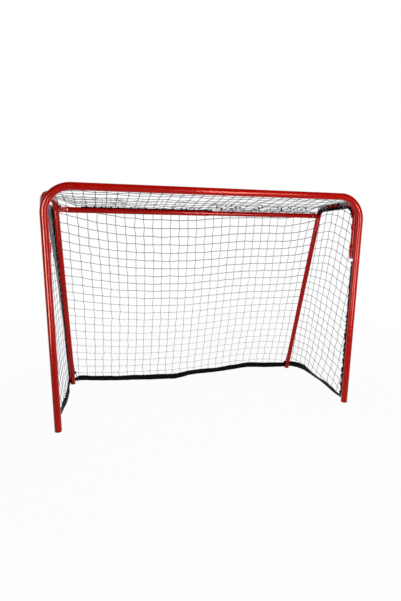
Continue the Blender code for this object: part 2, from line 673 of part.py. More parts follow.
def make_rear_bar(left_pivot, right_pivot):
    """Make the two tubes of the rear bar, with their forks, guide plug and lock screw."""
    make_fork("bar_outer_fork", BAR_RADIUS, 1, left_pivot)
    make_fork("bar_inner_fork", BAR_INNER_RADIUS, -1, right_pivot)
    outer_run = bar_run(1, BAR_MOUTH_PAST_MIDDLE)
    outer = hollow_tube("rear_bar_outer", outer_run, BAR_RADIUS, BAR_WALL, BAR_RESOLUTION,
                        red_paint, left_pivot)
    inner_run = bar_run(-1, BAR_OVERLAP - BAR_MOUTH_PAST_MIDDLE)
    hollow_tube("rear_bar_inner", inner_run, BAR_INNER_RADIUS, BAR_WALL, BAR_RESOLUTION,
                red_paint, right_pivot)
    make_guide_plug(inner_run[1], right_pivot)
    lock_x = outer_run[1].x - LOCK_FROM_MOUTH
    screw_hole = cylinder_mesh("lock_hole", LOCK_SCREW_DIAMETER / 2 + BOLT_CLEARANCE, BAR_RADIUS,
                               BOLT_SIDES, "Y", (lock_x, BAR_RADIUS, 0))
    shape_with(outer, screw_hole, "DIFFERENCE")
    make_lock(lock_x, left_pivot)


def make_guide_plug(end, pivot):
    """Make the plug in the inner tube's hidden end, which runs in the outer tube's bore."""
    stem = BAR_INNER_RADIUS - BAR_WALL - PLUG_CLEARANCE
    flange = PLUG_FLANGE - SEAT_GAP
    profile = [(0, PLUG_FLANGE), (BAR_INNER_RADIUS, PLUG_FLANGE),
               (BAR_INNER_RADIUS, PLUG_FLANGE - flange), (stem, PLUG_FLANGE - flange),
               (stem, -PLUG_STEM_LENGTH), (0, -PLUG_STEM_LENGTH)]
    turned("bar_guide_plug", profile, BAR_SIDES, red_plastic, pivot, end, (0, -math.pi / 2, 0))


def make_lock(lock_x, pivot):
    """Make the welded boss behind the outer tube and the fluted screw that locks the bar."""
    seat = BAR_RADIUS + SEAT_GAP
    boss_end = BAR_RADIUS + LOCK_BOSS_HEIGHT
    boss_start = BAR_RADIUS / 2
    boss = piece("lock_boss", cylinder_mesh("lock_boss", LOCK_BOSS_DIAMETER / 2, boss_end - boss_start,
                                            BAR_SIDES, "Y", (lock_x, (boss_end + boss_start) / 2, 0)),
                 red_paint, pivot)
    saddle = cylinder_mesh("lock_boss_saddle", seat, 2 * LOCK_BOSS_DIAMETER, BAR_SIDES, "X",
                           (lock_x, 0, 0))
    shape_with(boss, saddle, "DIFFERENCE")
    hole = cylinder_mesh("lock_boss_hole", LOCK_SCREW_DIAMETER / 2 + BOLT_CLEARANCE, 2 * boss_end,
                         BOLT_SIDES, "Y", (lock_x, 0, 0))
    shape_with(boss, hole, "DIFFERENCE")

    tip = BAR_INNER_RADIUS + SEAT_GAP
    knob_start = boss_end + SEAT_GAP
    knob_end = knob_start + LOCK_KNOB_HEIGHT
    shank = cylinder_mesh("lock_screw", LOCK_SCREW_DIAMETER / 2, knob_start + LOCK_KNOB_HEIGHT / 2 - tip,
                          BOLT_SIDES, "Y", (0, (knob_start + LOCK_KNOB_HEIGHT / 2 + tip) / 2, 0))
    screw = piece("lock_screw", shank, black_plastic, pivot, (lock_x, 0, 0))
    knob = cylinder_mesh("lock_screw_knob", LOCK_KNOB_DIAMETER / 2, LOCK_KNOB_HEIGHT,
                         3 * LOCK_KNOB_FLUTES, "Y", (0, (knob_start + knob_end) / 2, 0))
    shape_with(screw, knob, "UNION")
    for index in range(LOCK_KNOB_FLUTES):
        angle = 2 * math.pi * index / LOCK_KNOB_FLUTES
        centre = (math.cos(angle) * LOCK_KNOB_DIAMETER / 2, (knob_start + knob_end) / 2,
                  math.sin(angle) * LOCK_KNOB_DIAMETER / 2)
        flute = cylinder_mesh(f"lock_screw_flute_{index}", LOCK_FLUTE_RADIUS, 2 * LOCK_KNOB_HEIGHT, 8,
                              "Y", centre)
        shape_with(screw, flute, "DIFFERENCE")


def make_goal():
    """Make the whole goal."""
    make_front_hoop()
    make_hinge_eyes()
    pivots = []
    for side, sign in SIDES.items():
        hinge = axis_empty(side + "_hinge_axis", None, (sign * HINGE_X, POST_Y + HINGE_Y, 0),
                           sign * TOE_IN)
        make_arm(side, hinge)
        pin = arm_space(side, BAR_REACH, PIN_INSET, BAR_HEIGHT)
        pivots.append(axis_empty(side + "_bar_axis", hinge, pin, -sign * TOE_IN))
    make_rear_bar(*pivots)
    make_shared_net()


for old in list(bpy.data.objects):
    bpy.data.objects.remove(old)

goal = bpy.data.collections.new("folding_goal")
cutters = bpy.data.collections.new("cutters")
bpy.context.scene.collection.children.link(goal)
bpy.context.scene.collection.children.link(cutters)

red_paint = make_material("red_paint", (0.43, 0.007, 0.002), 0.25)
red_plastic = make_material("red_plastic", (0.36, 0.006, 0.002), 0.4)
zinc = make_material("zinc", (0.62, 0.62, 0.60), 0.35, 1.0)
black_plastic = make_material("black_plastic", (0.012, 0.012, 0.014), 0.5)
white_twine = make_material("white_twine", (0.80, 0.80, 0.80), 0.8)
black_cord = make_material("black_cord", (0.012, 0.012, 0.014), 0.8)
black_strap = make_material("black_strap", (0.010, 0.010, 0.016), 0.7)

make_goal()
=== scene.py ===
"""Looks of the folding goal: camera, studio, materials, smooth tubes, net, lacing and straps.

Metres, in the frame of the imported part: X along the crossbar, Y from the mouth to the back
and Z up from the floor. "Behind" is the distance behind the plane of the posts, and "along"
is the distance behind an arm's hinge line.
"""
import itertools
import math

import bpy
import numpy as np
from mathutils import Matrix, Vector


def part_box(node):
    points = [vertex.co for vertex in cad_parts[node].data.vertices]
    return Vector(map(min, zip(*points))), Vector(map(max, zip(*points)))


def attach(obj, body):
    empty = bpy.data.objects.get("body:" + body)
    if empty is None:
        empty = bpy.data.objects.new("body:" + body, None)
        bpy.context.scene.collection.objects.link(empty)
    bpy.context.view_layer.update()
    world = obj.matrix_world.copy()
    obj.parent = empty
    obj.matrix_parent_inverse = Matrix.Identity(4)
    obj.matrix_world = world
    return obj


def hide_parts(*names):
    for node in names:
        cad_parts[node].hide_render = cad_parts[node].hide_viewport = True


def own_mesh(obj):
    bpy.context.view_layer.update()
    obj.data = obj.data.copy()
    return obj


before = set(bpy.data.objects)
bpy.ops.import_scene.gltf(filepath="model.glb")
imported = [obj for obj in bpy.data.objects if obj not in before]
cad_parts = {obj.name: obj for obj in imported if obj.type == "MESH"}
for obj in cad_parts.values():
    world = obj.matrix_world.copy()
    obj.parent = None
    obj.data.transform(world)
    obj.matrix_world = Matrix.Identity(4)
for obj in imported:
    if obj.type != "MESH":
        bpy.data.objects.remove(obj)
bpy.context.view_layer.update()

# Sizes of the goal, as in its source
SIDES = {"left": -1, "right": 1}
POST_Y = sum(corner.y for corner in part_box("front_frame")) / 2
POST_RADIUS = 0.017
TUBE_WALL = 0.0015
CORNER_RADIUS = 0.120
CROSSBAR_HEIGHT = 1.133
ARM_RADIUS = 0.015
HINGE_X = 0.783
HINGE_BEHIND = 0.0359
HINGE_HEIGHTS = {"upper": 0.985, "lower": 0.870}
EYE_HEIGHT = 0.026
EYE_BORE_RADIUS = 0.0156
EYE_RADIUS = 0.0186
WEB_WIDTH = 0.022
WEB_THICKNESS = 0.0035
BEAD_RADIUS = 0.0015
COLLAR_HEIGHT = 0.010
SEAT_GAP = 0.0003
TOE_IN = math.radians(2.5)
TOP_RUN_HEIGHT = 1.105
LEG_END_HEIGHT = 0.820
FRONT_BEND_RADIUS = 0.070
REAR_BEND_RADIUS = 0.060
FOOT_REACH = 0.615
LEG_TAN = 0.279 / 1.065
PLUG_FLANGE = 0.004
BAR_HEIGHT = 1.065
BAR_RADIUS = 0.015
BAR_WALL = 0.0012
BAR_INNER_RADIUS = 0.0133
BAR_PIN_X = 0.728382
BAR_Y = 0.042083
BAR_START = 0.0323
BAR_MOUTH_X = 0.064
BAR_INNER_END_X = -0.084
NET_OFFSET = 0.020609

# The net's plane behind both rear legs: behind = BACK_FOOT - height * BACK_TAN
BACK_TAN = LEG_TAN * math.cos(TOE_IN)
BACK_FOOT = HINGE_BEHIND + FOOT_REACH * math.cos(TOE_IN) + NET_OFFSET * math.hypot(1, BACK_TAN)

# The fine net, the straps and the cords
STRAP_HEIGHT = 0.037
STRAP_THICKNESS = 0.002
COLUMN_COUNT = 31
COLUMN_STEP = 0.0512
TOP_NET_HEIGHT = 1.1255
TOP_NET_SIDE_HEIGHT = 1.1215
TOP_NET_DROP = 0.0415
TOP_ROWS = (0.065, 0.108, 0.168, 0.221, 0.266, 0.312, 0.355)
OVER_BAR = 0.374
BACK_ROW_COUNT = 22
BACK_ROW_STEP = 0.0467
BACK_TOP_ROW = 1.026
SIDE_COLUMN_STEP = 0.0545
SIDE_ROW_STEP = 0.0488
SIDE_TOP_ROW = 1.024
SIDE_NET_TOP = 1.098
NET_WANDER = 0.0016
TIE_BEHIND = 0.0215
TIE_DROP = 0.0065
BACK_BULGE = 0.045
SIDE_BULGE = 0.034
TUCK_HEIGHT = 0.16
TOP_TWINE_RADIUS = 0.0017
SIDE_TWINE_RADIUS = {"left": 0.00125, "right": 0.00155}
BORDER_RADIUS = 0.0022
KNOT_RADIUS = 0.0012
FINE_KNOT_RADIUS = 0.0009
SLACK_LIFT = 0.0035
GATHERED_RADIUS = 0.0016
CORD_RADIUS = 0.0021
HOOK_COUNT = 16
HOOK_START = 0.050
HOOK_STEP = 0.0492
HOOK_RADIUS = 0.0011
HOOK_Y = POST_Y + POST_RADIUS - 0.001

CAMERA = np.array((-0.5537, -2.11295, 0.8816))
CAMERA_TURN = {"yaw": 0.2378, "pitch": -0.1916, "roll": 0.0045}


def unit(vector):
    """Return a vector with its length made 1."""
    return np.asarray(vector) / np.linalg.norm(vector)


def smoothstep(low, high, x):
    """Return the share from 0 to 1 of x between two values, eased at both ends."""
    t = np.clip((x - low) / (high - low), 0, 1)
    return t * t * (3 - 2 * t)


def points_at(x, y, z):
    """Return the point, or the points, with these coordinates."""
    return np.stack(np.broadcast_arrays(x, y, z), axis=-1)


def arm_point(side, along, out, height):
    """Return points at distances behind an arm's hinge line and outward from it, at heights."""
    turn = SIDES[side] * TOE_IN
    across = SIDES[side] * out
    x = SIDES[side] * HINGE_X + across * math.cos(turn) - along * math.sin(turn)
    y = POST_Y + HINGE_BEHIND + across * math.sin(turn) + along * math.cos(turn)
    return points_at(x, y, height)


def leg_along(height):
    """Return how far behind its hinge line a rear leg's centre is at a height."""
    return FOOT_REACH - height * LEG_TAN


def toward_camera(point, distance, mirrored=False):
    """Return a point moved along the camera's sight line, or along its mirror image."""
    eye = CAMERA * (-1, 1, 1) if mirrored else CAMERA
    line = eye - point
    return point + line * (distance / np.linalg.norm(line))


def round_corners(corners, radii, steps):
    """Return points along straight runs whose inner corners are arcs."""
    corners = [np.asarray(corner, float) for corner in corners]
    points = [corners[0]]
    for before, corner, after, radius in zip(corners, corners[1:], corners[2:], radii):
        back, ahead = unit(before - corner), unit(after - corner)
        bisector, side = unit(back + ahead), unit(ahead - back)
        half = (math.pi - math.acos(float(back @ ahead))) / 2
        centre = corner + bisector * (radius / math.cos(half))
        for step in range(steps + 1):
            angle = half * (2 * step / steps - 1)
            points.append(centre + radius * (side * math.sin(angle) - bisector * math.cos(angle)))
    return np.array([*points, corners[-1]])


def path_lengths(points):
    """Return how far along a line each of its points is."""
    return np.concatenate([[0], np.cumsum(np.linalg.norm(np.diff(points, axis=0), axis=1))])


def at_places(places, marks, points):
    """Return the points at places along a line whose own points are at marks."""
    return np.stack([np.interp(places, marks, points[:, axis]) for axis in range(3)], axis=1)


def resample(points, spacing):
    """Return points at about equal steps along a line of points."""
    points = np.asarray(points, float)
    lengths = path_lengths(points)
    count = max(2, int(round(lengths[-1] / spacing)) + 1)
    return at_places(np.linspace(0, lengths[-1], count), lengths, points)


def frames_along(points, closed=False):
    """Return tangents and two cross directions that turn as little as they can."""
    if closed:
        tangents = np.roll(points, -1, axis=0) - np.roll(points, 1, axis=0)
    else:
        tangents = np.gradient(points, axis=0)
    tangents /= np.linalg.norm(tangents, axis=1)[:, None]
    previous = np.cross(tangents[0], (0, 0, 1.0) if abs(tangents[0][2]) < 0.8 else (1.0, 0, 0))
    sides = np.empty_like(points)
    for index, tangent in enumerate(tangents):
        previous = previous - tangent * (previous @ tangent)
        previous = previous / math.sqrt(previous @ previous)
        sides[index] = previous
    return tangents, sides, np.cross(tangents, sides)


def rings_about(points, sides, closed=False):
    """Return the tangents along a line, and unit vectors all round it at each point."""
    tangents, across, up = frames_along(points, closed)
    angles = np.linspace(0, 2 * math.pi, sides, endpoint=False)[:, None]
    return tangents, across[:, None] * np.cos(angles) + up[:, None] * np.sin(angles)


def add_object(name, data):
    """Return a new object in the scene."""
    obj = bpy.data.objects.new(name, data)
    bpy.context.scene.collection.objects.link(obj)
    return obj


class Strands:
    """Collects round strands and bands, and writes them as one mesh."""

    def __init__(self):
        self.vertices, self.faces, self.uvs, self.count = [], [], [], 0

    def add_grid(self, rings, lengths=None, around=None, loop=False):
        """Add faces between rings of points, with lengths along and shares or sizes around."""
        ring_count, sides = rings.shape[:2]
        lengths = np.linspace(0, 1, ring_count + 1) if lengths is None else lengths
        around = np.linspace(0, 1, sides + 1) if around is None else around
        first = self.count
        self.vertices.append(rings.reshape(-1, 3))
        self.count += ring_count * sides
        for i in range(ring_count if loop else ring_count - 1):
            here, there = first + i * sides, first + (i + 1) % ring_count * sides
            for k in range(sides):
                m = (k + 1) % sides
                self.faces.append((here + k, here + m, there + m, there + k))
                self.uvs.extend(((lengths[i], around[k]), (lengths[i], around[k + 1]),
                                 (lengths[i + 1], around[k + 1]), (lengths[i + 1], around[k])))
        if not loop:
            last = self.count - sides
            self.faces += [tuple(range(first, first + sides))[::-1], tuple(range(last, self.count))]
            self.uvs += [(lengths[0], 0.5)] * sides + [(lengths[-1], 0.5)] * sides

    def tube(self, points, radius, sides=6, loop=False):
        """Add a strand along points: a loop, or one with rounded ends."""
        points = np.asarray(points, float)
        radii = np.broadcast_to(radius, len(points))
        if not loop:
            start = points[0] + unit(points[0] - points[1]) * radii[0] * 0.6
            end = points[-1] + unit(points[-1] - points[-2]) * radii[-1] * 0.6
            points = np.vstack([start, points, end])
            radii = np.concatenate([[radii[0] * 0.55], radii, [radii[-1] * 0.55]])
        rings = points[:, None] + radii[:, None, None] * rings_about(points, sides, loop)[1]
        lengths = path_lengths(np.vstack([points, points[:1]]))
        self.add_grid(rings, lengths if loop else lengths[:-1], loop=loop)

    def band(self, points, widths_to, width, thickness):
        """Add a flat band along its lower edge's points, whose width runs along widths_to."""
        outward = np.cross(frames_along(points)[0], widths_to)
        outward /= np.linalg.norm(outward, axis=1)[:, None]
        half = thickness / 2
        steps = np.linspace(0, 1, 5) * width
        ring = np.array([(-half * 0.4, 0), *((step, half) for step in steps),
                         (width + half * 0.4, 0), *((step, -half) for step in steps[::-1])])
        rings = (points[:, None] + widths_to[:, None] * ring[None, :, :1]
                 + outward[:, None] * ring[None, :, 1:])
        self.add_grid(rings, path_lengths(points), [*ring[:, 0], ring[0, 0]])

    def make(self, name, uv_name="Strand"):
        """Write the collected strands as an object."""
        mesh = bpy.data.meshes.new(name)
        mesh.from_pydata(np.concatenate(self.vertices).tolist(), [], self.faces)
        mesh.uv_layers.new(name=uv_name).uv.foreach_set("vector", np.array(self.uvs, float).ravel())
        mesh.shade_smooth()
        mesh.set_sharp_from_angle(angle=math.radians(50))
        return add_object(name, mesh)


def node_maker(tree):
    """Return a function that adds a node, sets it up and returns one of its outputs."""
    def make(kind, *links, output=0, values=None, **settings):
        node = tree.nodes.new(kind)
        for key, value in settings.items():
            setattr(node, key, value)
        for key, value in [*enumerate(links), *(values or {}).items()]:
            if isinstance(value, bpy.types.NodeSocket):
                tree.links.new(value, node.inputs[key])
            else:
                node.inputs[key].default_value = value
        return node.outputs[output]
    return make


def link(socket, target):
    """Link a node's output to an input."""
    target.id_data.links.new(socket, target)


def principled(name, **plain):
    """Return a new material, its node maker, its shader and the place on the object."""
    material = bpy.data.materials.new(name)
    material.use_nodes = True
    shader = material.node_tree.nodes["Principled BSDF"]
    for key, value in plain.items():
        shader.inputs[key.replace("_", " ")].default_value = value
    make = node_maker(material.node_tree)
    return material, make, shader, make("ShaderNodeTexCoord", output=3)


def noise(make, place, scale, detail):
    """Return noise from 0 to 1 at a place."""
    return make("ShaderNodeTexNoise", values={"Vector": place, "Scale": scale, "Detail": detail})


def maths(make, operation, *terms):
    """Return the result of one Math node."""
    return make("ShaderNodeMath", *terms, operation=operation)


def split(make, vector):
    """Return a vector's three parts."""
    return make("ShaderNodeSeparateXYZ", vector).node.outputs


def ramp(make, factor, low, high, to_low=0.0, to_high=1.0):
    """Return a factor's range stretched to another."""
    return make("ShaderNodeMapRange", factor, low, high, to_low, to_high)


def mix(make, factor, first, second):
    """Return a mix of two colours, or of two outputs with colours, by a factor."""
    ends = {6: first, 7: second}
    for key, colour in ends.items():
        if isinstance(colour, tuple):
            ends[key] = (*colour, 1)
    return make("ShaderNodeMix", data_type="RGBA", output=2, values={0: factor, **ends})


def wave(make, *terms):
    """Return the sine, from 0 to 1, of a sum of (socket, turns per unit) terms."""
    total = 0.0
    for socket, turns in terms:
        total = maths(make, "ADD", maths(make, "MULTIPLY", socket, 2 * math.pi * turns), total)
    return maths(make, "MULTIPLY_ADD", maths(make, "SINE", total), 0.5, 0.5)


def finish_surface(make, shader, colour, roughness, strength, distance, height):
    """Link a shader's colour, its roughness and its bumps."""
    bump = make("ShaderNodeBump",
                values={"Strength": strength, "Distance": distance, "Height": height})
    link(colour, shader.inputs["Base Color"])
    link(roughness, shader.inputs["Roughness"])
    link(bump, shader.inputs["Normal"])


def paint_material(name, fresh, worn, rough, orange_peel):
    """Return a glossy sprayed paint with faint orange peel, thin scratches and dull patches."""
    material, make, shader, place = principled(name, Specular_Tint=(1.0, 0.44, 0.38, 1),
                                               Specular_IOR_Level=0.33)
    stretched = make("ShaderNodeMapping", place, values={"Scale": (260.0, 260.0, 14.0)})
    scratch = ramp(make, noise(make, stretched, 1.0, 2.0), 0.68, 0.74)
    tone = ramp(make, noise(make, place, 6.0, 3.0), 0.35, 0.65)
    pale = tuple(min(1.0, 1.25 * part + 0.012) for part in fresh)
    colour = mix(make, maths(make, "MULTIPLY", scratch, 0.35), mix(make, tone, fresh, worn), pale)
    dull = ramp(make, noise(make, place, 45.0, 4.0), 0.3, 0.7, rough - 0.04, rough + 0.07)
    finish_surface(make, shader, colour, maths(make, "MULTIPLY_ADD", scratch, 0.12, dull),
                   orange_peel, 0.0006, noise(make, place, 420.0, 1.0))
    return material


def plastic_material(name, first, second, rough):
    """Return moulded plastic with a fine grain and faint flow marks."""
    material, make, shader, place = principled(name)
    flow = noise(make, place, 30.0, 2.0)
    finish_surface(make, shader, mix(make, flow, first, second),
                   ramp(make, flow, 0.2, 0.8, rough - 0.06, rough + 0.08),
                   0.25, 0.0004, noise(make, place, 900.0, 2.0))
    return material


def metal_material(name):
    """Return bright zinc plating with a cloudy finish and fine turning marks."""
    material, make, shader, place = principled(name, Metallic=1.0)
    cloud = noise(make, place, 160.0, 3.0)
    finish_surface(make, shader, mix(make, cloud, (0.66, 0.66, 0.64), (0.48, 0.48, 0.45)),
                   ramp(make, cloud, 0.3, 0.7, 0.24, 0.46),
                   0.15, 0.0002, noise(make, place, 2200.0, 1.0))
    return material


def strand_material(name, crest, groove, rough, plies, pitch, low_crest=None, low_groove=None):
    """Return twisted twine, or braided cord, whose plies follow the strand's own UV map.

    With low colours it is twine, painted paler towards the ground: painted light on the lower
    strands."""
    material, make, shader, place = principled(name, Specular_IOR_Level=0.03)
    along, around, _ = split(make, make("ShaderNodeUVMap", uv_map="Strand"))
    ridge = wave(make, (along, 1 / pitch), (around, plies))
    if not low_crest:
        ridge = maths(make, "MULTIPLY", ridge, wave(make, (along, 1 / pitch), (around, -plies)))
    dirt, fuzz = noise(make, place, 14.0, 3.0), noise(make, place, 1500.0, 2.0)
    # Painted shade: the grooves between the plies take the darker groove colour and the crests the
    # paler one; random dirt also shifts the colour.
    shade = maths(make, "MULTIPLY_ADD", dirt, 0.5, maths(make, "MULTIPLY", ridge, 0.75))
    colour = mix(make, shade, groove, crest)
    # Painted light: from 0.95 m down to 0.30 m the twine's colours turn paler, to the low colours.
    if low_crest:
        rise = ramp(make, split(make, place)[2], 0.30, 0.95)
        colour = mix(make, rise, mix(make, shade, low_groove, low_crest), colour)
    finish_surface(make, shader, colour, ramp(make, fuzz, 0.3, 0.7, rough - 0.08, rough + 0.08),
                   0.7, 0.0005, maths(make, "MULTIPLY_ADD", fuzz, 0.3, ridge))
    return material


def strap_material(name, crest, groove):
    """Return woven strapping with fine ribs, bound edges and two rows of stitches."""
    material, make, shader, place = principled(name, Specular_IOR_Level=0.03)
    along, up, _ = split(make, make("ShaderNodeUVMap", uv_map="Weave"))
    rib = wave(make, (along, 1 / 0.0026), (up, 1 / 0.006))
    weave = maths(make, "MULTIPLY", rib, wave(make, (up, 1 / 0.0019)))
    dust = noise(make, place, 9.0, 4.0)
    stitches, inset = 0.0, 0.0045
    for height in (inset, STRAP_HEIGHT - inset):
        off = maths(make, "ABSOLUTE", maths(make, "SUBTRACT", up, height))
        dash = maths(make, "GREATER_THAN", wave(make, (along, 1 / 0.007)), 0.35)
        row = maths(make, "MULTIPLY", maths(make, "LESS_THAN", off, 0.0007), dash)
        stitches = maths(make, "ADD", row, stitches)
    # Painted shade: the weave's grooves take the darker groove colour and the ribs the paler one;
    # random dust also shifts the colour.
    shade = maths(make, "MULTIPLY_ADD", dust, 0.6, maths(make, "MULTIPLY", weave, 0.6))
    colour = mix(make, stitches, mix(make, shade, groove, crest), (0.012, 0.012, 0.016))
    finish_surface(make, shader, colour, ramp(make, dust, 0.3, 0.7, 0.42, 0.6),
                   0.6, 0.0005, maths(make, "MULTIPLY_ADD", stitches, 1.2, weave))
    return material


def place_object(obj, location, right, up, back):
    """Place an object whose axes point right, up and back."""
    turn = Matrix([right, up, back]).transposed().to_4x4()
    obj.matrix_world = Matrix.Translation(location) @ turn


def make_camera():
    """Make the camera."""
    data = bpy.data.cameras.new("camera")
    data.lens, data.sensor_width = 22.582, 36
    data.shift_x, data.shift_y = 0.01362, 0.03063
    yaw, pitch, roll = CAMERA_TURN.values()
    level = math.cos(pitch)
    ahead = np.array((math.sin(yaw) * level, math.cos(yaw) * level, math.sin(pitch)))
    right = np.array((math.cos(yaw), -math.sin(yaw), 0))
    up = np.cross(right, ahead)
    camera = add_object("camera", data)
    place_object(camera, CAMERA, math.cos(roll) * right + math.sin(roll) * up,
                 math.cos(roll) * up - math.sin(roll) * right, -ahead)
    bpy.context.scene.camera = camera


def make_lamps():
    """Make the softboxes: broad ones for matt light, and three that only reflections show."""
    for lamp in (("key_light", (0.35, -1.75, 0.95), (0.1, -0.33, 0.62), (2.2, 1.5), 2.35),
                 ("back_fill", (0.0, 3.4, 1.0), (0.0, 0.0, 0.60), (4.2, 2.4), 2.6),
                 ("top_fill", (0.0, 0.5, 3.4), (0.0, 0.0, 0.60), (3.2, 2.4), 1.5),
                 ("left_fill", (-3.4, 0.3, 0.9), (0.0, 0.0, 0.55), (2.4, 1.8), 1.5),
                 ("right_fill", (3.4, 0.3, 0.9), (0.0, 0.0, 0.55), (2.4, 1.8), 2.2)):
        softbox(*lamp, "visible_glossy")
    for lamp in (("bar_glow", (0.80, -1.95, 1.11), (0.35, -0.33, 1.13), (0.86, 0.70), 17.0),
                 ("post_glow", (0.57, -1.81, 0.49), (0.30, -0.33, 0.49), (0.44, 0.60), 32.0),
                 ("side_glow", (-1.42, -1.43, 0.825), (-0.783, -0.328, 0.825), (0.46, 1.35), 46.0)):
        softbox(*lamp, "visible_diffuse")


def make_world():
    """Make the plain world: white where the camera sees it, and grey where it lights things."""
    world = bpy.data.worlds.new("studio")
    bpy.context.scene.world = world
    world.use_nodes = True
    make = node_maker(world.node_tree)
    backdrop = world.node_tree.nodes["Background"]
    _, back, height = split(make, make("ShaderNodeTexCoord"))
    shown = maths(make, "MULTIPLY", ramp(make, back, 0.0, 0.3), ramp(make, height, 0.55, 0.3))
    glossy = make("ShaderNodeLightPath", output=3)
    room = mix(make, glossy, (0.13, 0.13, 0.133), (0.02, 0.02, 0.02))
    colour = mix(make, background_rays(make, shown), room, (1, 1, 1))
    link(colour, backdrop.inputs["Color"])
    backdrop.inputs["Strength"].default_value = 1.0


def make_floor():
    """Make the floor, which keeps shadows and fades to white away from the goal."""
    far, white_share = 12.0, 0.965
    mesh = bpy.data.meshes.new("floor")
    corners = [(-far, -far, 0), (far, -far, 0), (far, far, 0), (-far, far, 0)]
    mesh.from_pydata(corners, [], [(0, 1, 2, 3)])
    material = bpy.data.materials.new("floor")
    material.use_nodes = True
    material.node_tree.nodes.clear()
    mesh.materials.append(material)
    make = node_maker(material.node_tree)
    place = make("ShaderNodeNewGeometry")
    seen = background_rays(make, ramp(make, split(make, place)[1], -1.1, -0.4))
    diffuse = make("ShaderNodeBsdfDiffuse", (0.40, 0.40, 0.40, 1))
    glow = make("ShaderNodeEmission", (1, 1, 1, 1), 1.0)
    distance = make("ShaderNodeVectorMath", place, operation="LENGTH", output=1)
    white = ramp(make, distance, 1.2, 3.5, white_share, 1.0)
    mixed = make("ShaderNodeMixShader", white, diffuse, glow)
    lit = make("ShaderNodeMixShader", seen, diffuse, mixed)
    out = material.node_tree.nodes.new("ShaderNodeOutputMaterial")
    link(lit, out.inputs["Surface"])
    add_object("floor", mesh)


def background_rays(make, backdrop):
    """Return 1 for rays that see the white background, and 0 for those that light things.

    Reflections see it where the backdrop is 1, because the studio's front is dark."""
    camera, glossy, through = (make("ShaderNodeLightPath", output=index) for index in (0, 3, 6))
    seen = maths(make, "MAXIMUM", camera, maths(make, "MULTIPLY", glossy, backdrop))
    return maths(make, "MAXIMUM", seen, through)


def softbox(name, location, target, size, radiance, hidden_from):
    """Make a rectangular lamp that faces a point, with a plain radiance, for one kind of ray."""
    data = bpy.data.lights.new(name, "AREA")
    data.shape = "RECTANGLE"
    data.size, data.size_y = size
    data.energy = radiance * math.pi * size[0] * size[1]
    lamp = add_object(name, data)
    back = unit(np.subtract(location, target))
    right = unit(np.cross((0, 0, 1), back))
    place_object(lamp, location, right, np.cross(back, right), back)
    lamp.visible_camera = False
    setattr(lamp, hidden_from, False)


def dress(obj, slot, body, *nodes):
    """Give a piece its slot and that slot's material, its body and the nodes it stands for."""
    obj.data.materials.append(materials[slot])
    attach(obj, body)
    if nodes:
        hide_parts(*nodes)
    return obj


def fold_with_frame(obj):
    """Give a soft piece its own copy of its mesh."""
    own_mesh(obj)


def open_tube(name, points, radius, wall, sides):
    """Return a smooth tube with a wall, open at both ends, with small chamfers."""
    tangents, ring = rings_about(points, sides)
    chamfer = wall * 0.25
    shells = []
    for reach, way in ((radius, -chamfer), (radius - wall, chamfer)):
        shell = points[:, None] + ring * reach
        shells.append(np.concatenate([
            [shell[0] + ring[0] * way], [shell[0] + tangents[0] * chamfer], shell[1:-1],
            [shell[-1] - tangents[-1] * chamfer], [shell[-1] + ring[-1] * way]]))
    strands = Strands()
    strands.add_grid(np.concatenate([shells[0], shells[1][::-1]]), loop=True)
    obj = strands.make(name)
    obj.data.set_sharp_from_angle(angle=math.radians(40))
    return obj


def arm_outline(side, offset=0.0, out=0.0):
    """Return an arm's path, or one a distance outside it in the arm's own plane."""
    top = TOP_RUN_HEIGHT
    corners = [(0, 0, LEG_END_HEIGHT), (0, 0, top), (leg_along(top), 0, top),
               (FOOT_REACH - PLUG_FLANGE * LEG_TAN, 0, PLUG_FLANGE)]
    path = round_corners(corners, [FRONT_BEND_RADIUS, REAR_BEND_RADIUS], 20)
    tangents = frames_along(path)[0]
    along = path[:, 0] - tangents[:, 2] * offset
    return arm_point(side, along, out, path[:, 2] + tangents[:, 0] * offset)


def make_frame_tubes():
    """Make the smooth tubes that stand for the faceted ones."""
    corners = [(-HINGE_X, POST_Y, PLUG_FLANGE), (-HINGE_X, POST_Y, CROSSBAR_HEIGHT),
               (HINGE_X, POST_Y, CROSSBAR_HEIGHT), (HINGE_X, POST_Y, PLUG_FLANGE)]
    hoop = round_corners(corners, [CORNER_RADIUS, CORNER_RADIUS], 28)
    tube = open_tube("hoop_tube", hoop, POST_RADIUS, TUBE_WALL, 56)
    dress(tube, "red_paint", "front", "front_frame")
    for side in SIDES:
        tube = open_tube(side + "_arm_tube", arm_outline(side), ARM_RADIUS, TUBE_WALL, 48)
        for vertex in tube.data.vertices:
            if vertex.co.z < 0.02:  # the sloping leg's end, cut level on its plug
                vertex.co.z = PLUG_FLANGE
        dress(tube, "red_paint", side + "_side_arm", side + "_arm")
    start = BAR_PIN_X - BAR_START
    for body, xs, radius, sides in (
            ("bar_inner", (start, start - 0.01, -0.07, BAR_INNER_END_X), BAR_INNER_RADIUS, 48),
            ("bar_outer", (-start, -0.68, 0.05, BAR_MOUTH_X), BAR_RADIUS, 56)):
        path = points_at(xs, BAR_Y, BAR_HEIGHT)
        tube = open_tube(body + "_tube", path, radius, BAR_WALL, sides)
        dress(tube, "red_paint", body, "rear_" + body)


def add_ring(strands, centre, height, bore, radius, sides=48):
    """Add a turned ring about a vertical line, with small chamfers."""
    chamfer = 0.0006
    half = height / 2
    profile = [(bore, half - chamfer), (bore + chamfer, half), (radius - chamfer, half),
               (radius, half - chamfer)]
    profile += [(r, -z) for r, z in profile[::-1]]
    angles = np.linspace(0, 2 * math.pi, sides, endpoint=False)
    rings = [centre + points_at(r * np.cos(angles), r * np.sin(angles), z) for r, z in profile]
    strands.add_grid(np.array(rings), loop=True)


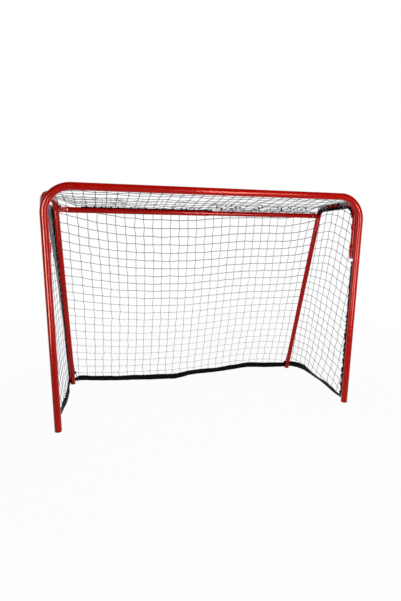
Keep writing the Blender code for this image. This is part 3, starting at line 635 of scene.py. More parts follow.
def make_hinge_parts():
    """Make the smooth hinge eyes with their webs and weld beads, and the collars beside them."""
    reach = EYE_HEIGHT / 2 + SEAT_GAP + COLLAR_HEIGHT / 2
    for side in SIDES:
        axis = arm_point(side, 0, 0, 0)
        for level, height in HINGE_HEIGHTS.items():
            eye = Strands()
            add_ring(eye, axis + (0, 0, height), EYE_HEIGHT, EYE_BORE_RADIUS, EYE_RADIUS)
            add_web(eye, axis, height)
            dress(eye.make(f"{side}_{level}_eye"), "red_paint", "front", f"{side}_{level}_hinge")
        for level, step in (("top", reach), ("under", -reach)):
            collar = Strands()
            add_ring(collar, axis + (0, 0, HINGE_HEIGHTS["lower"] + step), COLLAR_HEIGHT,
                     ARM_RADIUS + 0.0002, EYE_RADIUS)
            dress(collar.make(f"{side}_{level}_ring"), "red_paint", side + "_side_arm",
                  f"{side}_{level}_collar")


def add_web(strands, axis, height):
    """Add the two cheeks that join a hinge eye to its post, with weld beads along the post."""
    half, half_width = EYE_HEIGHT / 2, WEB_WIDTH / 2
    front = POST_Y + math.sqrt(POST_RADIUS ** 2 - half_width ** 2) + SEAT_GAP
    back = axis[1] - math.sqrt(EYE_RADIUS ** 2 - half_width ** 2) + 0.0008
    heights = np.linspace(height - half + 0.002, height + half - 0.002, 24)
    for cheek in (-1, 1):
        x = axis[0] + cheek * half_width
        inner = x - cheek * WEB_THICKNESS
        rings = np.array([[(x, y, height - half), (x, y, height + half), (inner, y, height + half),
                           (inner, y, height - half)] for y in (front, back)])
        strands.add_grid(rings[:, ::cheek], [0, back - front], [0, 0.3, 0.5, 0.8, 1])
        bead = points_at(x, front + 0.0004, heights)
        strands.tube(bead, BEAD_RADIUS + 0.0002 * np.sin(np.arange(24) * 1.9), sides=8)


def dress_cad_nodes():
    """Give every node that stays its material."""
    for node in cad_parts.values():
        if node.hide_render:
            continue
        for slot in node.material_slots:
            base = slot.material.name.split(".")[0] if slot.material else "red_paint"
            slot.material = materials.get(base, materials["red_paint"])


def jitter(rng, size, shape=3, limit=None):
    """Return small random moves."""
    limit = limit or 2 * size
    return np.clip(rng.normal(0, size, shape), -limit, limit)


def add_knots(strands, crossings, radius=KNOT_RADIUS):
    """Tie a knot of two small loops at each crossing: (point, one strand's way, the other's)."""
    t = np.linspace(0, 2 * math.pi, 10, endpoint=False)
    x, y, z = 0.0026 * np.cos(t), 0.0020 * np.sin(t), 0.0012 * np.sin(2 * t)
    loops = points_at(x, y, z + 0.0006), points_at(-y, x, z - 0.0006)
    for point, one, other in crossings:
        one = unit(one)
        normal = unit(np.cross(one, other))
        basis = np.stack([one, np.cross(normal, one), normal])
        for loop in loops:
            strands.tube(point + loop @ basis, radius, sides=4, loop=True)


def between(points, sag=0.0, parts=4):
    """Return points with more between each pair, which hang a little."""
    points = np.asarray(points, float)
    out = [points[0]]
    for start, end in zip(points, points[1:]):
        for share in np.arange(1, parts + 1) / parts:
            out.append(start + (end - start) * share + (0, 0, -4 * sag * share * (1 - share)))
    return np.array(out)


def column_x(k):
    """Return a net column's X at the bar."""
    return (k - (COLUMN_COUNT - 1) / 2) * COLUMN_STEP


def top_height(x, behind):
    """Return the top net's height, from behind the crossbar down to the rear bar."""
    height = TOP_NET_HEIGHT - TOP_NET_DROP * (behind - 0.02) / 0.355
    lift = smoothstep(0.66, 0.765, abs(x))
    return height + lift * (TOP_NET_SIDE_HEIGHT - height)


def on_top(x, behind, lift=0.0):
    """Return a point on the top net, or a little above it."""
    return points_at(x, POST_Y + behind, top_height(x, behind) + lift)


def under_crossbar(x):
    """Return where the net's front edge is tied behind the crossbar and the hoop's corners."""
    beyond = max(0.0, min(abs(x), HINGE_X) - (HINGE_X - CORNER_RADIUS))
    height = CROSSBAR_HEIGHT - CORNER_RADIUS + math.sqrt(CORNER_RADIUS ** 2 - beyond ** 2)
    return points_at(x, POST_Y + TIE_BEHIND, height - TIE_DROP)


def top_x(k, behind):
    """Return a column's X on the top net. The outer ones follow the arms."""
    if 0 < k < COLUMN_COUNT - 1:
        return column_x(k)
    return math.copysign(HINGE_X - (behind - HINGE_BEHIND) * math.tan(TOE_IN) - 0.004, column_x(k))


def hem_line(x):
    """Return how far behind the posts, and how high, the back strap's lower edge is at x."""
    marks = (-0.765, -0.74, -0.67, -0.58, -0.49, -0.30, -0.096, -0.02, 0.02, 0.096, 0.247, 0.34,
             0.43, 0.52, 0.60, 0.70, 0.765)
    back = (0.664, 0.664, 0.657, 0.652, 0.645, 0.618, 0.590, 0.622, 0.645, 0.657, 0.662, 0.660,
            0.656, 0.658, 0.662, 0.666, 0.668)
    lift = (0.004, 0.016, 0.015, 0.006, 0.003, 0.002, 0.002, 0.003, 0.002, 0.002, 0.004, 0.014,
            0.023, 0.018, 0.009, 0.003, 0.003)
    return np.interp(x, marks, back), np.interp(x, marks, lift)


def back_shape(x, share):
    """Return how much a back row rises above its middle, as the photograph shows."""
    left = np.clip((-x - 0.2) / 0.55, 0, 1.1) ** (2.2 - 0.4 * min(1, 2 * share))
    right = smoothstep(-0.1, 0.4, x)
    edge = np.clip((x - 0.5) / 0.25, 0, 1.1) ** 2
    return ((0.07 - 0.04 * share ** 1.5) * left + (0.025 + 0.01 * share) * right
            + (0.037 - 0.065 * share) * edge)


def seen_on_back_plane(point):
    """Return where the camera sees a point on the plane behind the rear legs."""
    line = point - CAMERA
    offset = BACK_FOOT + POST_Y - CAMERA[1] - CAMERA[2] * BACK_TAN
    return CAMERA + line * (offset / (line[1] + line[2] * BACK_TAN))


def back_column(k, rng):
    """Return a column's crossings down the back, then its end at the strap."""
    x0 = column_x(k)
    outer = k in (0, COLUMN_COUNT - 1)
    edge = 1 - smoothstep(0.60, 0.765, abs(x0))
    behind, low = hem_line(x0)
    hem = points_at(x0, POST_Y + behind - 0.004, low + STRAP_HEIGHT - 0.004)
    hem_seen = seen_on_back_plane(hem)
    drop = np.linalg.norm(hem_seen - hem) * math.copysign(1, hem_seen[1] - hem[1])
    points = []
    for i in range(BACK_ROW_COUNT):
        share = i / (BACK_ROW_COUNT - 1)
        level = BACK_TOP_ROW - BACK_ROW_STEP * i
        height = level + back_shape(x0, share)
        if height < hem_seen[2] + 0.014:
            break
        bow = 0.012 * math.sin(math.pi * share)
        x = x0 + bow * (1 - smoothstep(0.6, 0.76, abs(x0))) + 0.0018 * (-1) ** (k + i)
        if outer:
            x = math.copysign(HINGE_X - leg_along(level) * math.sin(TOE_IN), x0)
        fall = np.clip((BAR_HEIGHT + 0.001 - height) / (BAR_HEIGHT + 0.001 - hem_seen[2]), 0, 1)
        pull = BACK_BULGE * math.sin(math.pi * fall) * (0.15 + 0.85 * edge) + drop * fall ** 2.4
        point = toward_camera(points_at(x, POST_Y + BACK_FOOT - height * BACK_TAN, height), pull)
        points.append(point if outer else point + jitter(rng, NET_WANDER))
    return points, hem


def back_radius(points, low, left, right):
    """Return the back twine's radius at each point: it is drawn thinner lower down.

    The shares make it thicker or thinner low down, and higher up at the left and the right."""
    upper = np.clip((points[:, 2] - 0.44) / 0.12, 0, 1)
    rightward = np.clip((points[:, 0] + 0.45) / 0.2, 0, 1)
    share = low + upper * (left + rightward * (right - left) - low)
    return share * (0.0013 + 0.0006 * smoothstep(0.25, 0.95, points[:, 2]))


def make_main_net():
    """Make the net's top and back, one sheet that hangs over the rear bar."""
    rng = np.random.default_rng(11)
    top, back = Strands(), Strands()
    top_grid, back_grid = [], []
    for k in range(COLUMN_COUNT):
        x = column_x(k)
        start = under_crossbar(x)
        crossings = [on_top(top_x(k, behind), behind) + jitter(rng, NET_WANDER)
                     for behind in TOP_ROWS]
        if k in (0, COLUMN_COUNT - 1):
            corner = (0.088, 1.1205), (0.096, 1.1205), (0.122, TOP_NET_SIDE_HEIGHT)
            start, crossings[0], crossings[1] = (
                points_at(top_x(k, behind), POST_Y + behind, height) for behind, height in corner)
        over_bar = on_top(x, OVER_BAR, 0.001)
        top_grid.append(crossings)
        top.tube(between([start, *crossings, over_bar], 0.0008), TOP_TWINE_RADIUS)
        points, hem = back_column(k, rng)
        back_grid.append(points)
        bend = points_at(x, POST_Y + np.array((0.388, 0.3935)), (1.0795, 1.066))
        line = between([over_bar, *bend, *points, hem], 0.0, 3)
        back.tube(line, back_radius(line, 1.06, 0.97, 0.88))
    for row in zip(*top_grid):
        top.tube(between(row, 0.0012), TOP_TWINE_RADIUS)
        add_knots(top, [(point, (1.0, 0, 0), (0, 1.0, -0.1)) for point in row[1:-1]])
    for row in range(BACK_ROW_COUNT):
        run = []
        for k, column in enumerate([*back_grid, []]):
            if row < len(column):
                run.append((k, column[row]))
                continue
            if len(run) > 1:
                line = between([point for _, point in run], 0.0015)
                back.tube(line, back_radius(line, 0.87, 1.12, 1.32))
                knots = [(point, (1.0, 0, 0), (0, -0.25, 1.0)) for m, point in run[:-1] if m]
                add_knots(back, knots, FINE_KNOT_RADIUS)
            run = []
    border = [under_crossbar(x) + (0, 0, 0.0012 * math.sin(41 * x))
              for x in np.linspace(-0.742, 0.742, 59)]
    ties = points_at((0.755, 0.772), POST_Y + np.array((0.045, 0.090)), (1.106, 1.1205))
    border = [*ties[::-1] * (-1, 1, 1), *border, *ties]
    top.tube(between(border, 0.0008, 2), BORDER_RADIUS)
    fold_with_frame(dress(top.make("net_over_top"), "white_twine", "front", "top_net"))
    fold_with_frame(dress(back.make("net_down_back"), "white_twine", "front", "back_net"))


def side_front(height):
    """Return how far behind the hinge line an arm's front leg or bend is at a height."""
    rise = np.maximum(0.0, height - (TOP_RUN_HEIGHT - FRONT_BEND_RADIUS))
    return FRONT_BEND_RADIUS - np.sqrt(np.maximum(0.0, FRONT_BEND_RADIUS ** 2 - rise ** 2)) + 0.001


def side_strap(side, along):
    """Return how high and how far out a side strap's lower edge is, and its lean inward."""
    if side == "left":
        marks = (0.0, 0.15, 0.20, 0.28, 0.47, 0.56)
        low, lean = (0.0012,) * 6, (0, 0, -5, -12, -14, -6)
        out = (0.0206, 0.013, 0.009, 0.002, 0.004, 0.019)
    else:
        marks = (0.0, 0.03, 0.075, 0.12, 0.17, 0.22, 0.29, 0.35, 0.42, 0.50, 0.58, 0.615)
        low = (0.0012, 0.0012, 0.003, 0.011, 0.022, 0.028, 0.033, 0.039, 0.041, 0.034, 0.020, 0.008)
        out, lean = (0.0206,) + (0.0226,) * 11, (36, 34, 26, 20, 20, 40, 28, 20, 2, 0, 0, 0)
    low, out, lean = (np.interp(along, marks, values) for values in (low, out, lean))
    return low, out, np.radians(lean)


def side_hem(along, side):
    """Return the height of a side strap's top edge, where the side net ends."""
    low, _, lean = side_strap(side, along)
    return float(low + STRAP_HEIGHT * np.cos(lean)) - 0.003


def side_crossing(n, j):
    """Return where a side column and a row cross, as a place along the arm and a height.

    The rows hang towards the post and rise or fall behind middle, as the photograph shows."""
    middle = 0.275
    level = height = SIDE_TOP_ROW - SIDE_ROW_STEP * j
    power = 1.15 + 0.45 * smoothstep(0.45, 0.9, level)
    rise = -0.018 + 0.052 * smoothstep(0.95, 0.45, level)
    for _ in range(6):
        along = 0.080 + SIDE_COLUMN_STEP * n + 0.19 * (1.0 - height)
        ahead = np.clip((middle - along) / 0.235, 0, 1.3)
        behind = np.clip((along - middle) / 0.12, 0, 1.0)
        height = level - 0.08 * ahead ** power + rise * behind
    return np.array((along, height))


def inside_side(place, side):
    """Return whether a place is on an arm's side panel."""
    along, height = place
    return (side_front(height) <= along <= leg_along(height)
            and side_hem(along, side) <= height <= SIDE_NET_TOP)


def clip_side(places, side):
    """Cut a line of places to the side panel, with its ends on the panel's edge."""
    runs, run = [], [places[0]] if inside_side(places[0], side) else []
    for start, end in zip(places, places[1:]):
        end_in = inside_side(end, side)
        if bool(run) != end_in:
            inner, outer = (start, end) if run else (end, start)
            for _ in range(12):
                middle = (inner + outer) / 2
                inner, outer = (middle, outer) if inside_side(middle, side) else (inner, middle)
            if run:
                runs.append(run + [inner])
            run = [inner] if end_in else []
        if end_in:
            run.append(end)
    return runs + [run] if len(run) > 1 else runs


def on_side(side, place):
    """Return a place of the side panel in space, bulging outward."""
    along, height = place
    front, hem = side_front(height), side_hem(along, side)
    across = np.clip((along - front) / (leg_along(height) - front), 0, 1)
    up = np.clip((height - hem) / (SIDE_NET_TOP - hem), 0, 1)
    bulge = math.sin(math.pi * across) ** 0.8 * math.sin(math.pi * up) ** 0.6
    _, foot, lean = side_strap(side, along)
    tuck = NET_OFFSET - float(foot - STRAP_HEIGHT * np.sin(lean))
    out = NET_OFFSET - tuck * (1 - smoothstep(0.0, TUCK_HEIGHT, height - hem))
    return toward_camera(arm_point(side, along, out, height), -SIDE_BULGE * bulge, side == "left")


def make_side_nets():
    """Make the net on the outer side of each arm."""
    columns, rows = range(-6, 12), range(-2, 24)
    for seed, side in enumerate(SIDES):
        rng = np.random.default_rng(31 + seed)
        net = Strands()
        grid = {}
        for n, j in itertools.product(columns, rows):
            lean = 0.0022 * (-1) ** (n + j)
            grid[n, j] = side_crossing(n, j) + (lean, 0) + jitter(rng, NET_WANDER, 2, 0.003)
        lines = [[grid[n, j] for j in rows] for n in columns]
        lines += [[grid[n, j] for n in columns] for j in rows]
        for run in (run for line in lines for run in clip_side(line, side)):
            points = [on_side(side, place) for place in run]
            for end in (0, -1):
                along, height = run[end]
                if abs(leg_along(height) - along) < 0.006:
                    tie = arm_point(side, along + 0.004, ARM_RADIUS + 0.0008, height)
                    points.insert(len(points) if end else 0, tie)
            net.tube(between(points, 0.001), SIDE_TWINE_RADIUS[side])
        crossings = []
        for (n, j), place in grid.items():
            if inside_side(place, side) and (n, j + 1) in grid and (n + 1, j) in grid:
                here = on_side(side, place)
                crossings.append((here, on_side(side, grid[n + 1, j]) - here,
                                  on_side(side, grid[n, j + 1]) - here))
        add_knots(net, crossings, FINE_KNOT_RADIUS)
        bend_start = TOP_RUN_HEIGHT - FRONT_BEND_RADIUS
        bend_heights = np.linspace(bend_start, SIDE_NET_TOP, 10)
        front = arm_point(side, 0.001, NET_OFFSET * 0.75, np.linspace(0.012, bend_start, 60))
        bend = arm_point(side, side_front(bend_heights), NET_OFFSET * 0.8, bend_heights)
        top = arm_point(side, np.linspace(0.06, 0.30, 14), NET_OFFSET * 0.9, SIDE_NET_TOP + 0.004)
        net.tube(resample([*front, *bend, *top], 0.012), 0.0023)
        dress(net.make(side + "_side_net"), "white_twine", side + "_side_arm", side + "_net")


def helix(path, radius, pitch, phase=0.0, per_turn=10, handed=1, loose=0.0, rng=None):
    """Return a cord's points round a path, with a pitch that may wander."""
    step = 0.002
    path = resample(path, step)
    turns = step * (len(path) - 1) / pitch
    marks = np.linspace(0, 1, int(turns * per_turn) + 1)
    angles = phase + handed * 2 * math.pi * turns * marks
    if rng is not None:
        drift = np.cumsum(rng.normal(0, loose, len(marks)))
        angles = angles + drift - marks * drift[-1]
    _, across, up = frames_along(path)
    centre, side, over = (at_places(marks * (len(path) - 1), range(len(path)), line)
                          for line in (path, across, up))
    return centre + (side * np.cos(angles)[:, None] + over * np.sin(angles)[:, None]) * radius


def cord_knot(cords, centre, axis, size, rng, radius=CORD_RADIUS):
    """Add a tight tangle of cord about a point: a wrap of three turns and a crossed loop."""
    axis = unit(axis)
    path = np.array([centre - axis * size * 0.7, centre, centre + axis * size * 0.7])
    cords.tube(helix(path, size * 0.75, size * 0.5, phase=rng.uniform(0, 6), per_turn=12), radius)
    t = np.linspace(0, 2 * math.pi, 16, endpoint=False)[:, None]
    across = unit(np.cross(axis, (0.3, 0.5, 0.8)))
    over = np.cross(axis, across)
    loop = centre + size * (np.cos(t) * axis * 0.9 + np.sin(t) * across * 1.05
                            + np.sin(2 * t) * over * 0.5)
    cords.tube(loop, radius, loop=True)


def make_bar_cord():
    """Make the black cord that ties the net down along the top of the rear bar, and black knots
    there and on the top net; they also paint a dark line and specks of shade.
    """
    rng = np.random.default_rng(41)
    cords = Strands()
    xs = np.arange(-0.640, 0.085, 0.012)
    # Painted shade: two black cords along the top of the outer bar, lacing that also paints the
    # dark line of shade there.
    for turn, phase in ((1.13, 0.0), (0.86, 2.0)):
        around = turn + 0.04 * np.sin(xs * 57 + phase)
        reach = 0.0172 + 0.0004 * np.sin(xs * 71 + phase)
        ys, zs = BAR_Y - reach * np.cos(around), BAR_HEIGHT + reach * np.sin(around)
        cords.tube(points_at(xs, ys, zs), 0.0020, sides=8)
    for x in np.arange(-0.63, 0.66, 0.047):
        spot = points_at(x + rng.uniform(-0.018, 0.018), BAR_Y - 0.006, BAR_HEIGHT + 0.0180)
        cord_knot(cords, spot, (1.0, 0.1, 0.1), rng.uniform(0.0030, 0.0052), rng, 0.0016)
    # Black knots on the top net in front of the bar: lacing that also paints specks of shade in the
    # net.
    for _ in range(30):
        spot = on_top(rng.uniform(0.08, 0.66), rng.uniform(0.24, 0.355))
        cord_knot(cords, spot, rng.normal(0, 1, 3), rng.uniform(0.0026, 0.0044), rng, 0.0015)
    fold_with_frame(dress(cords.make("bar_cord"), "black_cord", "front"))


def make_slack_net():
    """Make the net's surplus, gathered on its top in front of the rear bar."""
    rng = np.random.default_rng(43)
    slack = Strands()
    stretches = (1, 7, 5, 0.0012), (6, 17, 2, 0.0012), (16, COLUMN_COUNT - 1, 3, 0.0009)
    for low, high, rows, radius in stretches:
        for row in range(rows):
            behind = 0.175 + 0.185 * (row + rng.uniform(0, 0.8)) / rows
            xs = np.arange(column_x(low), column_x(high) + 0.001, COLUMN_STEP / 3)
            ends = np.minimum(1, np.minimum(np.arange(len(xs)), np.arange(len(xs))[::-1]) / 2)
            behinds = np.clip(behind + np.cumsum(rng.normal(0, 0.0030, len(xs))), 0.16, 0.366)
            for end in (0, -1):
                behinds[end] = min(TOP_ROWS, key=lambda row_behind: abs(row_behind - behinds[end]))
            line = on_top(xs, behinds, SLACK_LIFT * ends)
            line[:, 2] += ends * jitter(rng, 0.0016, len(xs), 0.003)
            slack.tube(between(line, 0.001, 2), radius)
        for x in np.arange(column_x(low), column_x(high), 0.23 / rows):
            xs = x + np.cumsum(rng.normal(0, 0.004, 9))
            line = on_top(xs, np.linspace(TOP_ROWS[2], OVER_BAR, 9), SLACK_LIFT)
            line[0, 2] -= SLACK_LIFT
            line[-1, 2] -= 0.0015
            slack.tube(between(line, 0.001, 2), 0.9 * radius)
    for strand in range(5):
        xs = np.arange(0.10 + 0.02 * strand, 0.742, 0.016)
        wander = np.clip(np.cumsum(rng.normal(0, 0.0016, len(xs))), -0.004, 0.004)
        heights = 1.0775 + 0.0026 * strand + jitter(rng, 0.0014, len(xs), 0.0025)
        slack.tube(points_at(xs, POST_Y + 0.3455 + 0.0022 * strand + wander, heights), 0.0011)
    fold_with_frame(dress(slack.make("net_slack"), "white_twine", "front"))


def make_post_lacing():
    """Make the rope and black lacing that hold each side net's front edge behind its post."""
    knots_thin_above = 0.52
    rope_radius = 0.0040
    hook = np.array([(0, 0, 0), (0, 0.008, 0), (0, 0.016, 0.002), (0, 0.0175, 0.006),
                     (0, 0.014, 0.0095), (0, 0.006, 0.0085), (0, 0, 0.0065)])
    for seed, (side, sign) in enumerate(SIDES.items()):
        rng = np.random.default_rng(51 + seed)
        cords, hooks = Strands(), Strands()
        centre = np.array((sign * HINGE_X, POST_Y + HINGE_BEHIND - 0.004, 0))
        rope = resample([centre + (0, 0, 0.032), centre + (0, 0, 0.800)], 0.012)
        rope[1:-1, :2] += jitter(rng, 0.0006, (len(rope) - 2, 2))
        cords.tube(rope, rope_radius, sides=8)
        cords.tube(helix(rope, 0.0052, 0.0118, loose=0.05, rng=rng, handed=sign), CORD_RADIUS)
        crossing = helix(rope, 0.0056, 0.0490, phase=1.0, loose=0.03, rng=rng, per_turn=16,
                         handed=-sign)
        cords.tube(crossing, 0.0017)
        for step in range(HOOK_COUNT):
            height = HOOK_START + HOOK_STEP * step + rng.uniform(-0.009, 0.009)
            size = rng.uniform(0.0060, 0.0085) + 0.0025 * smoothstep(0.30, 0.05, height)
            if height > knots_thin_above:
                size = rng.uniform(0.0046, 0.0060)
            spot = centre + (-0.0012 * sign - 0.5 * (size - 0.005) * sign, -0.003, height)
            cord_knot(cords, spot, (0.1, 0.2, 1.0), size, rng, 0.0018)
            if height < knots_thin_above:
                tail = [spot, spot + (-0.006 * sign, 0.002, rng.uniform(-0.010, 0.010)),
                        spot + (-0.009 * sign, 0.004, rng.uniform(-0.022, 0.016))]
                cords.tube(between(tail), 0.0016)
        for step in range(HOOK_COUNT):
            root = (sign * HINGE_X, HOOK_Y, HOOK_START + HOOK_STEP * step - 0.003)
            hooks.tube(between(hook + root, parts=3), HOOK_RADIUS)
        dress(cords.make(side + "_post_cord"), "black_cord", "front", side + "_post_lacing")
        dress(hooks.make(side + "_post_eyelets"), "red_paint", "front")


def make_crossbar_hooks():
    """Make the small welded loops behind the crossbar that hold the net's front edge."""
    hooks = Strands()
    hook = np.array([(0, 0, 0), (0, 0.004, -0.001), (0.002, 0.0065, -0.0045),
                     (0.004, 0.0065, -0.0045), (0.006, 0.004, -0.001), (0.006, 0, 0)])
    for k in range(2, COLUMN_COUNT - 2):
        root = (column_x(k) - 0.003, HOOK_Y, CROSSBAR_HEIGHT - 0.003)
        hooks.tube(between(hook + root, parts=3), HOOK_RADIUS)
    dress(hooks.make("crossbar_hooks"), "red_paint", "front")


def lace_right_arm(side, cords, rng):
    """Add the cord wound over the right arm's top run, the ropes under it and their knots."""
    run = arm_point(side, np.array((0.085, 0.16, 0.25, 0.318)), 0, TOP_RUN_HEIGHT)
    cords.tube(helix(run, 0.0174, 0.024, per_turn=14, loose=0.16, rng=rng), CORD_RADIUS)
    crossing = helix(run, 0.0180, 0.055, phase=2.0, per_turn=16, loose=0.12, rng=rng, handed=-1)
    cords.tube(crossing, 0.0018)
    for offset, out, radius in ((-0.0155, -0.0085, 0.0030), (-0.0085, -0.0155, 0.0022)):
        rope = arm_outline(side, offset, out)
        rope = resample(rope[(rope[:, 2] > 1.0) & (rope[:, 1] < POST_Y + 0.385)], 0.010)
        rope += jitter(rng, 0.0006, rope.shape)
        cords.tube(rope, radius, sides=8)
        cords.tube(helix(rope, radius + 0.0010, 0.012, loose=0.08, rng=rng), 0.0017)
    spots = ((0.105, 0.018, -0.014), (0.125, 0.003, -0.010), (0.185, 0.020, -0.012),
             (0.215, 0.004, -0.012), (0.255, 0.016, -0.014), (0.300, 0.020, -0.010))
    for along, drop, out in spots:
        along += rng.uniform(-0.006, 0.006)
        spot = arm_point(side, along, out, TOP_RUN_HEIGHT + 0.012 - drop)
        cord_knot(cords, spot, (0.2, 1.0, 0.1), 0.0068, rng)


def make_arm_lacing():
    """Make the lacing over each arm's top run and the net's border beside the arm; black strands by
    the left leg also paint shade.
    """
    for seed, side in enumerate(SIDES):
        left = side == "left"
        rng = np.random.default_rng(71 + seed)
        cords, bunch = Strands(), Strands()
        if left:
            rope = arm_outline(side, 0.004, -0.0158)
            rope = rope[(rope[:, 2] > 1.062) & (rope[:, 1] > POST_Y + 0.20)]
            cords.tube(helix(rope, 0.0007, 0.012, loose=0.08, rng=rng), 0.0016)
            spot = arm_point(side, 0.338, -0.022, 1.083)
            cord_knot(cords, spot, (0.3, 1.0, 0.2), 0.0048, rng, 0.0016)
        else:
            lace_right_arm(side, cords, rng)
        seam = arm_outline(side, 0.0175)
        seam = seam[(seam[:, 2] > 0.10) & (seam[:, 2] < 1.07) & (seam[:, 1] > POST_Y + 0.2)]
        cords.tube(helix(seam, 0.0032, 0.030, loose=0.05, rng=rng), 0.0015)
        if left:
            # Painted shade: three black cords among the gathered strands darken the bunch by the
            # left leg, as shade would.
            for share in (0.04, 0.45, 0.8):
                cords.tube(bunch_line(side, share, rng), 0.0019)
            # A black three-ply rope down the left leg's outer side: the net's border rope, and also
            # painted shade along that side of the leg.
            heights = np.linspace(0.012, 1.075, 120)
            border = arm_point(side, leg_along_line(heights) - 0.002, ARM_RADIUS + 0.0042, heights)
            for phase in (0.0, 2.1, 4.2):
                ply = helix(border, 0.0033, 0.046, phase, per_turn=12, loose=0.04, rng=rng)
                cords.tube(ply, 0.0022)
            for strand in range(11):
                bunch.tube(bunch_line(side, 0.08 + 0.092 * strand, rng), GATHERED_RADIUS)
        bunch.tube(resample(seam, 0.02), BORDER_RADIUS)
        for strand in range(4):
            out = 0.014 - 0.008 * strand
            rise = math.sqrt((ARM_RADIUS + 0.0028) ** 2 - out ** 2)
            line = arm_point(side, np.linspace(0.075, 0.325, 24), out, TOP_RUN_HEIGHT + rise)
            bunch.tube(line + rng.normal(0, 0.0007, line.shape), GATHERED_RADIUS)
        for ends in () if left else ((0.040, 0.120), (0.235, 0.320)):
            run = arm_point(side, np.array(ends), 0, TOP_RUN_HEIGHT)
            for phase in (0.0, 2.2, 4.1):
                wrap = helix(run, 0.0186, 0.021, phase, per_turn=14, loose=0.2, rng=rng)
                bunch.tube(wrap, 0.0014)
        body = side + "_side_arm"
        dress(cords.make(side + "_arm_cord"), "black_cord", body, side + "_arm_lacing")
        dress(bunch.make(side + "_net_border"), "white_twine", body)


def bunch_line(side, share, rng):
    """Return one strand of the net gathered on the outer side of a rear leg."""
    heights = np.linspace(1.085, 0.33, 34)
    spread = np.interp(heights, (0.33, 0.46, 0.59, 0.71, 0.82, 0.91, 1.09),
                       (0.002, 0.006, 0.010, 0.014, 0.017, 0.025, 0.024))
    sway = np.cumsum(rng.normal(0, 0.0007, len(heights)))
    out = ARM_RADIUS + 0.0022 + np.clip(share + 4 * sway, 0, 1) * spread
    behind = leg_along_line(heights) - 0.004 + 0.006 * math.sin(9 * share) + sway * 0.5
    return arm_point(side, behind, out, heights)


def leg_along_line(heights):
    """Return how far behind the hinge line an arm's centre is, round its rear bend too."""
    path = arm_outline("right")
    path = path[path[:, 1] > POST_Y + 0.25][::-1]
    along = (path[:, 1] - POST_Y - HINGE_BEHIND) / math.cos(TOE_IN)
    return np.interp(heights, path[:, 2], along)


def make_foot_ties():
    """Make the cord that ties the net's lower corner to each rear leg."""
    ties = ("left", 0.078, 0.0078), ("right", 0.042, 0.0088)
    for seed, (side, height, size) in enumerate(ties):
        rng = np.random.default_rng(91 + seed)
        cords = Strands()
        heights = height + np.array((-0.004, 0, 0.004))
        leg = arm_point(side, leg_along(heights), 0, heights)
        cords.tube(helix(leg, 0.0162, 0.0079, per_turn=24), 0.0010)
        spot = arm_point(side, leg_along(height) + 0.012, -0.0145, height)
        cord_knot(cords, spot, (0.3, 0.4, 1.0), size, rng)
        beside = arm_point(side, leg_along(height) + 0.014, 0.0135, height - 0.006)
        cord_knot(cords, beside, (0.3, 0.4, 1.0), size * 0.8, rng)
        heights = np.linspace(height, height + 0.07, 8)
        out = -0.0150 + 0.05 * (heights - height)
        climb = arm_point(side, leg_along(heights) + 0.009, out, heights)
        cords.tube(helix(climb, 0.0022, 0.012, loose=0.05, rng=rng), 0.0017)
        for end, way in ((0, 1), (1, -1)):
            loose = spot + np.array([(0, 0, 0), (0.004, 0.008, 0.004 - 0.01 * end),
                                     (0.010 * way, 0.012, -0.4 * height),
                                     (0.014 * way, 0.012, -0.85 * height + 0.004 * end)])
            cords.tube(between(loose), CORD_RADIUS)
        dress(cords.make(side + "_foot_cord"), "black_cord", side + "_side_arm", side + "_foot_tie")


def eased(values):
    """Return values with their corners rounded off."""
    kernel = np.hanning(9) / np.hanning(9).sum()
    return np.convolve(np.pad(values, 4, mode="edge"), kernel, mode="valid")


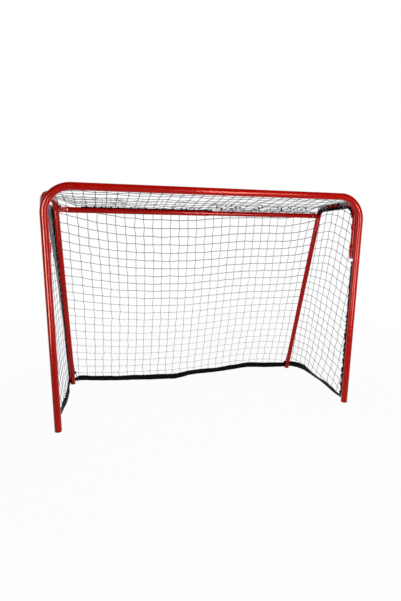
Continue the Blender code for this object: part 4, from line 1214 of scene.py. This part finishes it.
def make_back_strap():
    """Make the flat strap along the back net's lower edge, with some loose threads."""
    straps = Strands()
    xs = np.linspace(-0.762, 0.762, 150)
    behind, low = (eased(values) for values in hem_line(xs))
    ripple = 0.0015 * np.sin(xs * 31.0) + 0.001 * np.sin(xs * 83.0 + 1.0)
    points = points_at(xs, POST_Y + behind + ripple, low + 0.0008)
    lean = (0.22 + 0.10 * np.sin(xs * 9.0) + 0.05 * np.sin(xs * 37.0)
            + 0.62 * smoothstep(-0.70, -0.75, xs))
    widths = points_at(0.0, -np.sin(lean), np.cos(lean))
    straps.band(points, widths, STRAP_HEIGHT, STRAP_THICKNESS)
    threads = (-0.123, 0.007), (-0.112, 0.004), (-0.098, 0.006), (0.31, 0.004), (-0.45, 0.003)
    for x, rise in threads:
        row = int(np.argmin(abs(xs - x)))
        root = points[row] + widths[row] * (STRAP_HEIGHT - 0.001)
        thread = root + np.array([(0, 0, 0), (0.003, -0.001, rise), (0.008, 0.001, 0.9 * rise),
                                  (0.011, 0, -0.001)])
        straps.tube(between(thread, parts=3), 0.0010)
    strap = dress(straps.make("back_hem_strap", "Weave"), "black_strap", "front", "back_strap")
    length = path_lengths(points)[-1]
    fold_with_frame(strap)


def make_side_straps():
    """Make the flat strap along each side net's lower edge."""
    for side in SIDES:
        band = Strands()
        along = np.linspace(0.006, 0.628, 100)
        low, out, lean = side_strap(side, along)
        lean = eased(lean) + 0.05 * np.sin(along * 47.0)
        if side == "left":
            lean = lean + 0.09 * np.sin(along * 150.0) * smoothstep(0.2, 0.3, along)
        points = arm_point(side, along, out + 0.0012 * np.sin(along * 31.0), eased(low))
        outward = arm_point(side, 0, 1, 0) - arm_point(side, 0, 0, 0)
        widths = -np.sin(lean)[:, None] * outward + np.cos(lean)[:, None] * np.array((0, 0, 1.0))
        band.band(points, widths, STRAP_HEIGHT, STRAP_THICKNESS)
        strap = dress(band.make(side + "_hem_strap", "Weave"), "black_strap",
                      side + "_side_arm", side + "_strap")
        length = path_lengths(points)[-1]


materials = {name: look(name, *values) for name, look, *values in (
    ("red_paint", paint_material, (0.50, 0.0032, 0.0005), (0.45, 0.0026, 0.0004), 0.17, 0.05),
    ("red_plastic", plastic_material, (0.36, 0.0040, 0.001), (0.30, 0.0032, 0.001), 0.36),
    ("zinc", metal_material),
    ("black_plastic", plastic_material, (0.014, 0.014, 0.016), (0.010, 0.010, 0.011), 0.45),
    # Twine and cord: the second colour is the darker groove colour, painted shade between the
    # plies.
    ("white_twine", strand_material, (0.49, 0.50, 0.54), (0.26, 0.26, 0.285), 0.7, 3, 0.009,
     # The twine's paler low colours: painted light towards the ground.
     (0.60, 0.61, 0.64), (0.38, 0.38, 0.41)),
    ("black_cord", strand_material, (0.009, 0.008, 0.010), (0.002, 0.002, 0.0025), 0.6, 4, 0.005),
    # The strap's second colour is painted shade in the weave's grooves.
    ("black_strap", strap_material, (0.0040, 0.0040, 0.0060), (0.0015, 0.0015, 0.0025)))}

bpy.context.scene.view_settings.view_transform = "Standard"
make_camera()
make_lamps()
make_world()
make_floor()
make_frame_tubes()
make_hinge_parts()
make_main_net()
make_side_nets()
make_slack_net()
make_bar_cord()
make_post_lacing()
make_crossbar_hooks()
make_arm_lacing()
make_foot_ties()
make_back_strap()
make_side_straps()
dress_cad_nodes()
